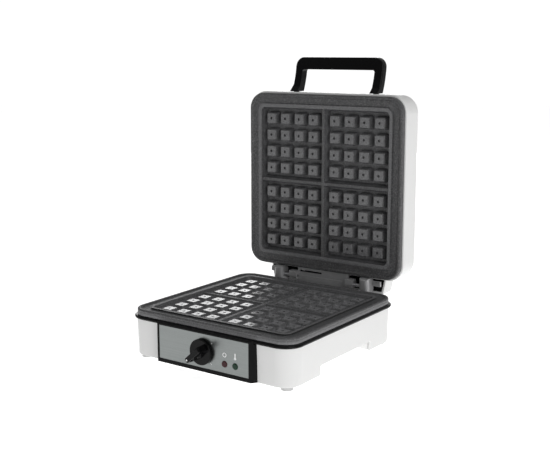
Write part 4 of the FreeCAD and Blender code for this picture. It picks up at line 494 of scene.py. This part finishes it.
def add_marks():
    """A ring over the power lamp, a thermometer over the ready lamp and two dashes by the knob."""
    power, ready, knob = (middle_of(node) for node in ("power_lamp_lens", "ready_lamp_lens", "knob"))
    icon_z = power.z + ICON_RISE
    ring = [circle_outline(power.x, icon_z, radius, RING_CORNERS) for radius in (RING_OUTER, RING_INNER)]
    raised_print("power_mark", ring)

    bulb_z = icon_z - BULB_DROP
    neck = math.pi - math.asin(STEM_RADIUS / BULB_RADIUS)
    bulb = circle_outline(ready.x, bulb_z, BULB_RADIUS, BULB_CORNERS, -neck, neck)
    stem_z = bulb_z + STEM_RISE
    stem_end = circle_outline(ready.x, stem_z, STEM_RADIUS, STEM_CORNERS, math.pi / 2, 3 * math.pi / 2)
    raised_print("ready_mark", [bulb + stem_end])

    for number, turn in enumerate(DASH_TURNS, 1):
        x = knob.x + DASH_REACH * math.cos(math.radians(turn))
        z = knob.z + DASH_REACH * math.sin(math.radians(turn))
        raised_print(f"knob_mark_{number}", [bar_outline(x, z, DASH_WIDTH, DASH_LENGTH, turn)])


# ------------------------------------------------------ floor, lights and camera
def add_floor():
    """A pale floor that is bright enough to run into the white background without an edge."""
    work = bmesh.new()
    bmesh.ops.create_circle(work, cap_ends=True, segments=FLOOR_CORNERS, radius=FLOOR_RADIUS)
    mesh = bpy.data.meshes.new("floor")
    work.to_mesh(mesh)
    work.free()
    s = Surface("pale_floor")
    mesh.materials.append(
        s.set(
            Base_Color=s.tone(scale=3.0, detail=2.0, dark=(0.93, 0.93, 0.93), light=(0.95, 0.95, 0.95)),
            Roughness=0.9,
            Specular_IOR_Level=0.0,
            Emission_Color=(1.0, 1.0, 1.0),
            Emission_Strength=FLOOR_GLOW,
        )
    )
    add_object("floor", mesh)


def add_light(name, place, target, width, height, power):
    lamp = bpy.data.lights.new(name, "AREA")
    lamp.shape = "RECTANGLE"
    lamp.size = width
    lamp.size_y = height
    lamp.energy = power
    thing = add_object(name, lamp)
    thing.location = place
    aim(thing, target)


def add_world():
    """White where the camera sees it; as a light it is bright behind the object and dim in front."""
    white = (1.0, 1.0, 1.0)
    world = bpy.data.worlds.new("studio")
    bpy.context.scene.world = world
    world.use_nodes = True
    tree = world.node_tree
    ray = add_node(tree, "ShaderNodeTexCoord").outputs["Generated"]
    split = add_node(tree, "ShaderNodeSeparateXYZ", {"Vector": ray})
    ramp = add_node(
        tree,
        "ShaderNodeMapRange",
        {
            "Value": split.outputs["Y"],
            "From Min": WORLD_BLEND[0],
            "From Max": WORLD_BLEND[1],
            "To Min": WORLD_FRONT,
            "To Max": WORLD_BACK,
        },
        interpolation_type="SMOOTHSTEP",
    )
    light = tree.nodes["Background"]
    feed(tree, light.inputs["Color"], white)
    feed(tree, light.inputs["Strength"], ramp.outputs["Result"])
    seen = add_node(tree, "ShaderNodeBackground", {"Color": white, "Strength": WORLD_SEEN})
    to_camera = add_node(tree, "ShaderNodeLightPath").outputs["Is Camera Ray"]
    either = add_node(tree, "ShaderNodeMixShader", {0: to_camera, 1: light.outputs[0], 2: seen.outputs[0]})
    feed(tree, tree.nodes["World Output"].inputs["Surface"], either.outputs[0])


def add_camera():
    data = bpy.data.cameras.new("camera")
    data.sensor_width = CAMERA_SENSOR
    data.lens = CAMERA_LENS
    camera = add_object("camera", data)
    camera.location = CAMERA_PLACE
    aim(camera, CAMERA_TARGET)
    bpy.context.scene.camera = camera


add_marks()
add_floor()
add_world()
for light_name, light in LIGHTS.items():
    add_light(light_name, *light)
add_camera()
bpy.context.scene.view_settings.view_transform = "Standard"
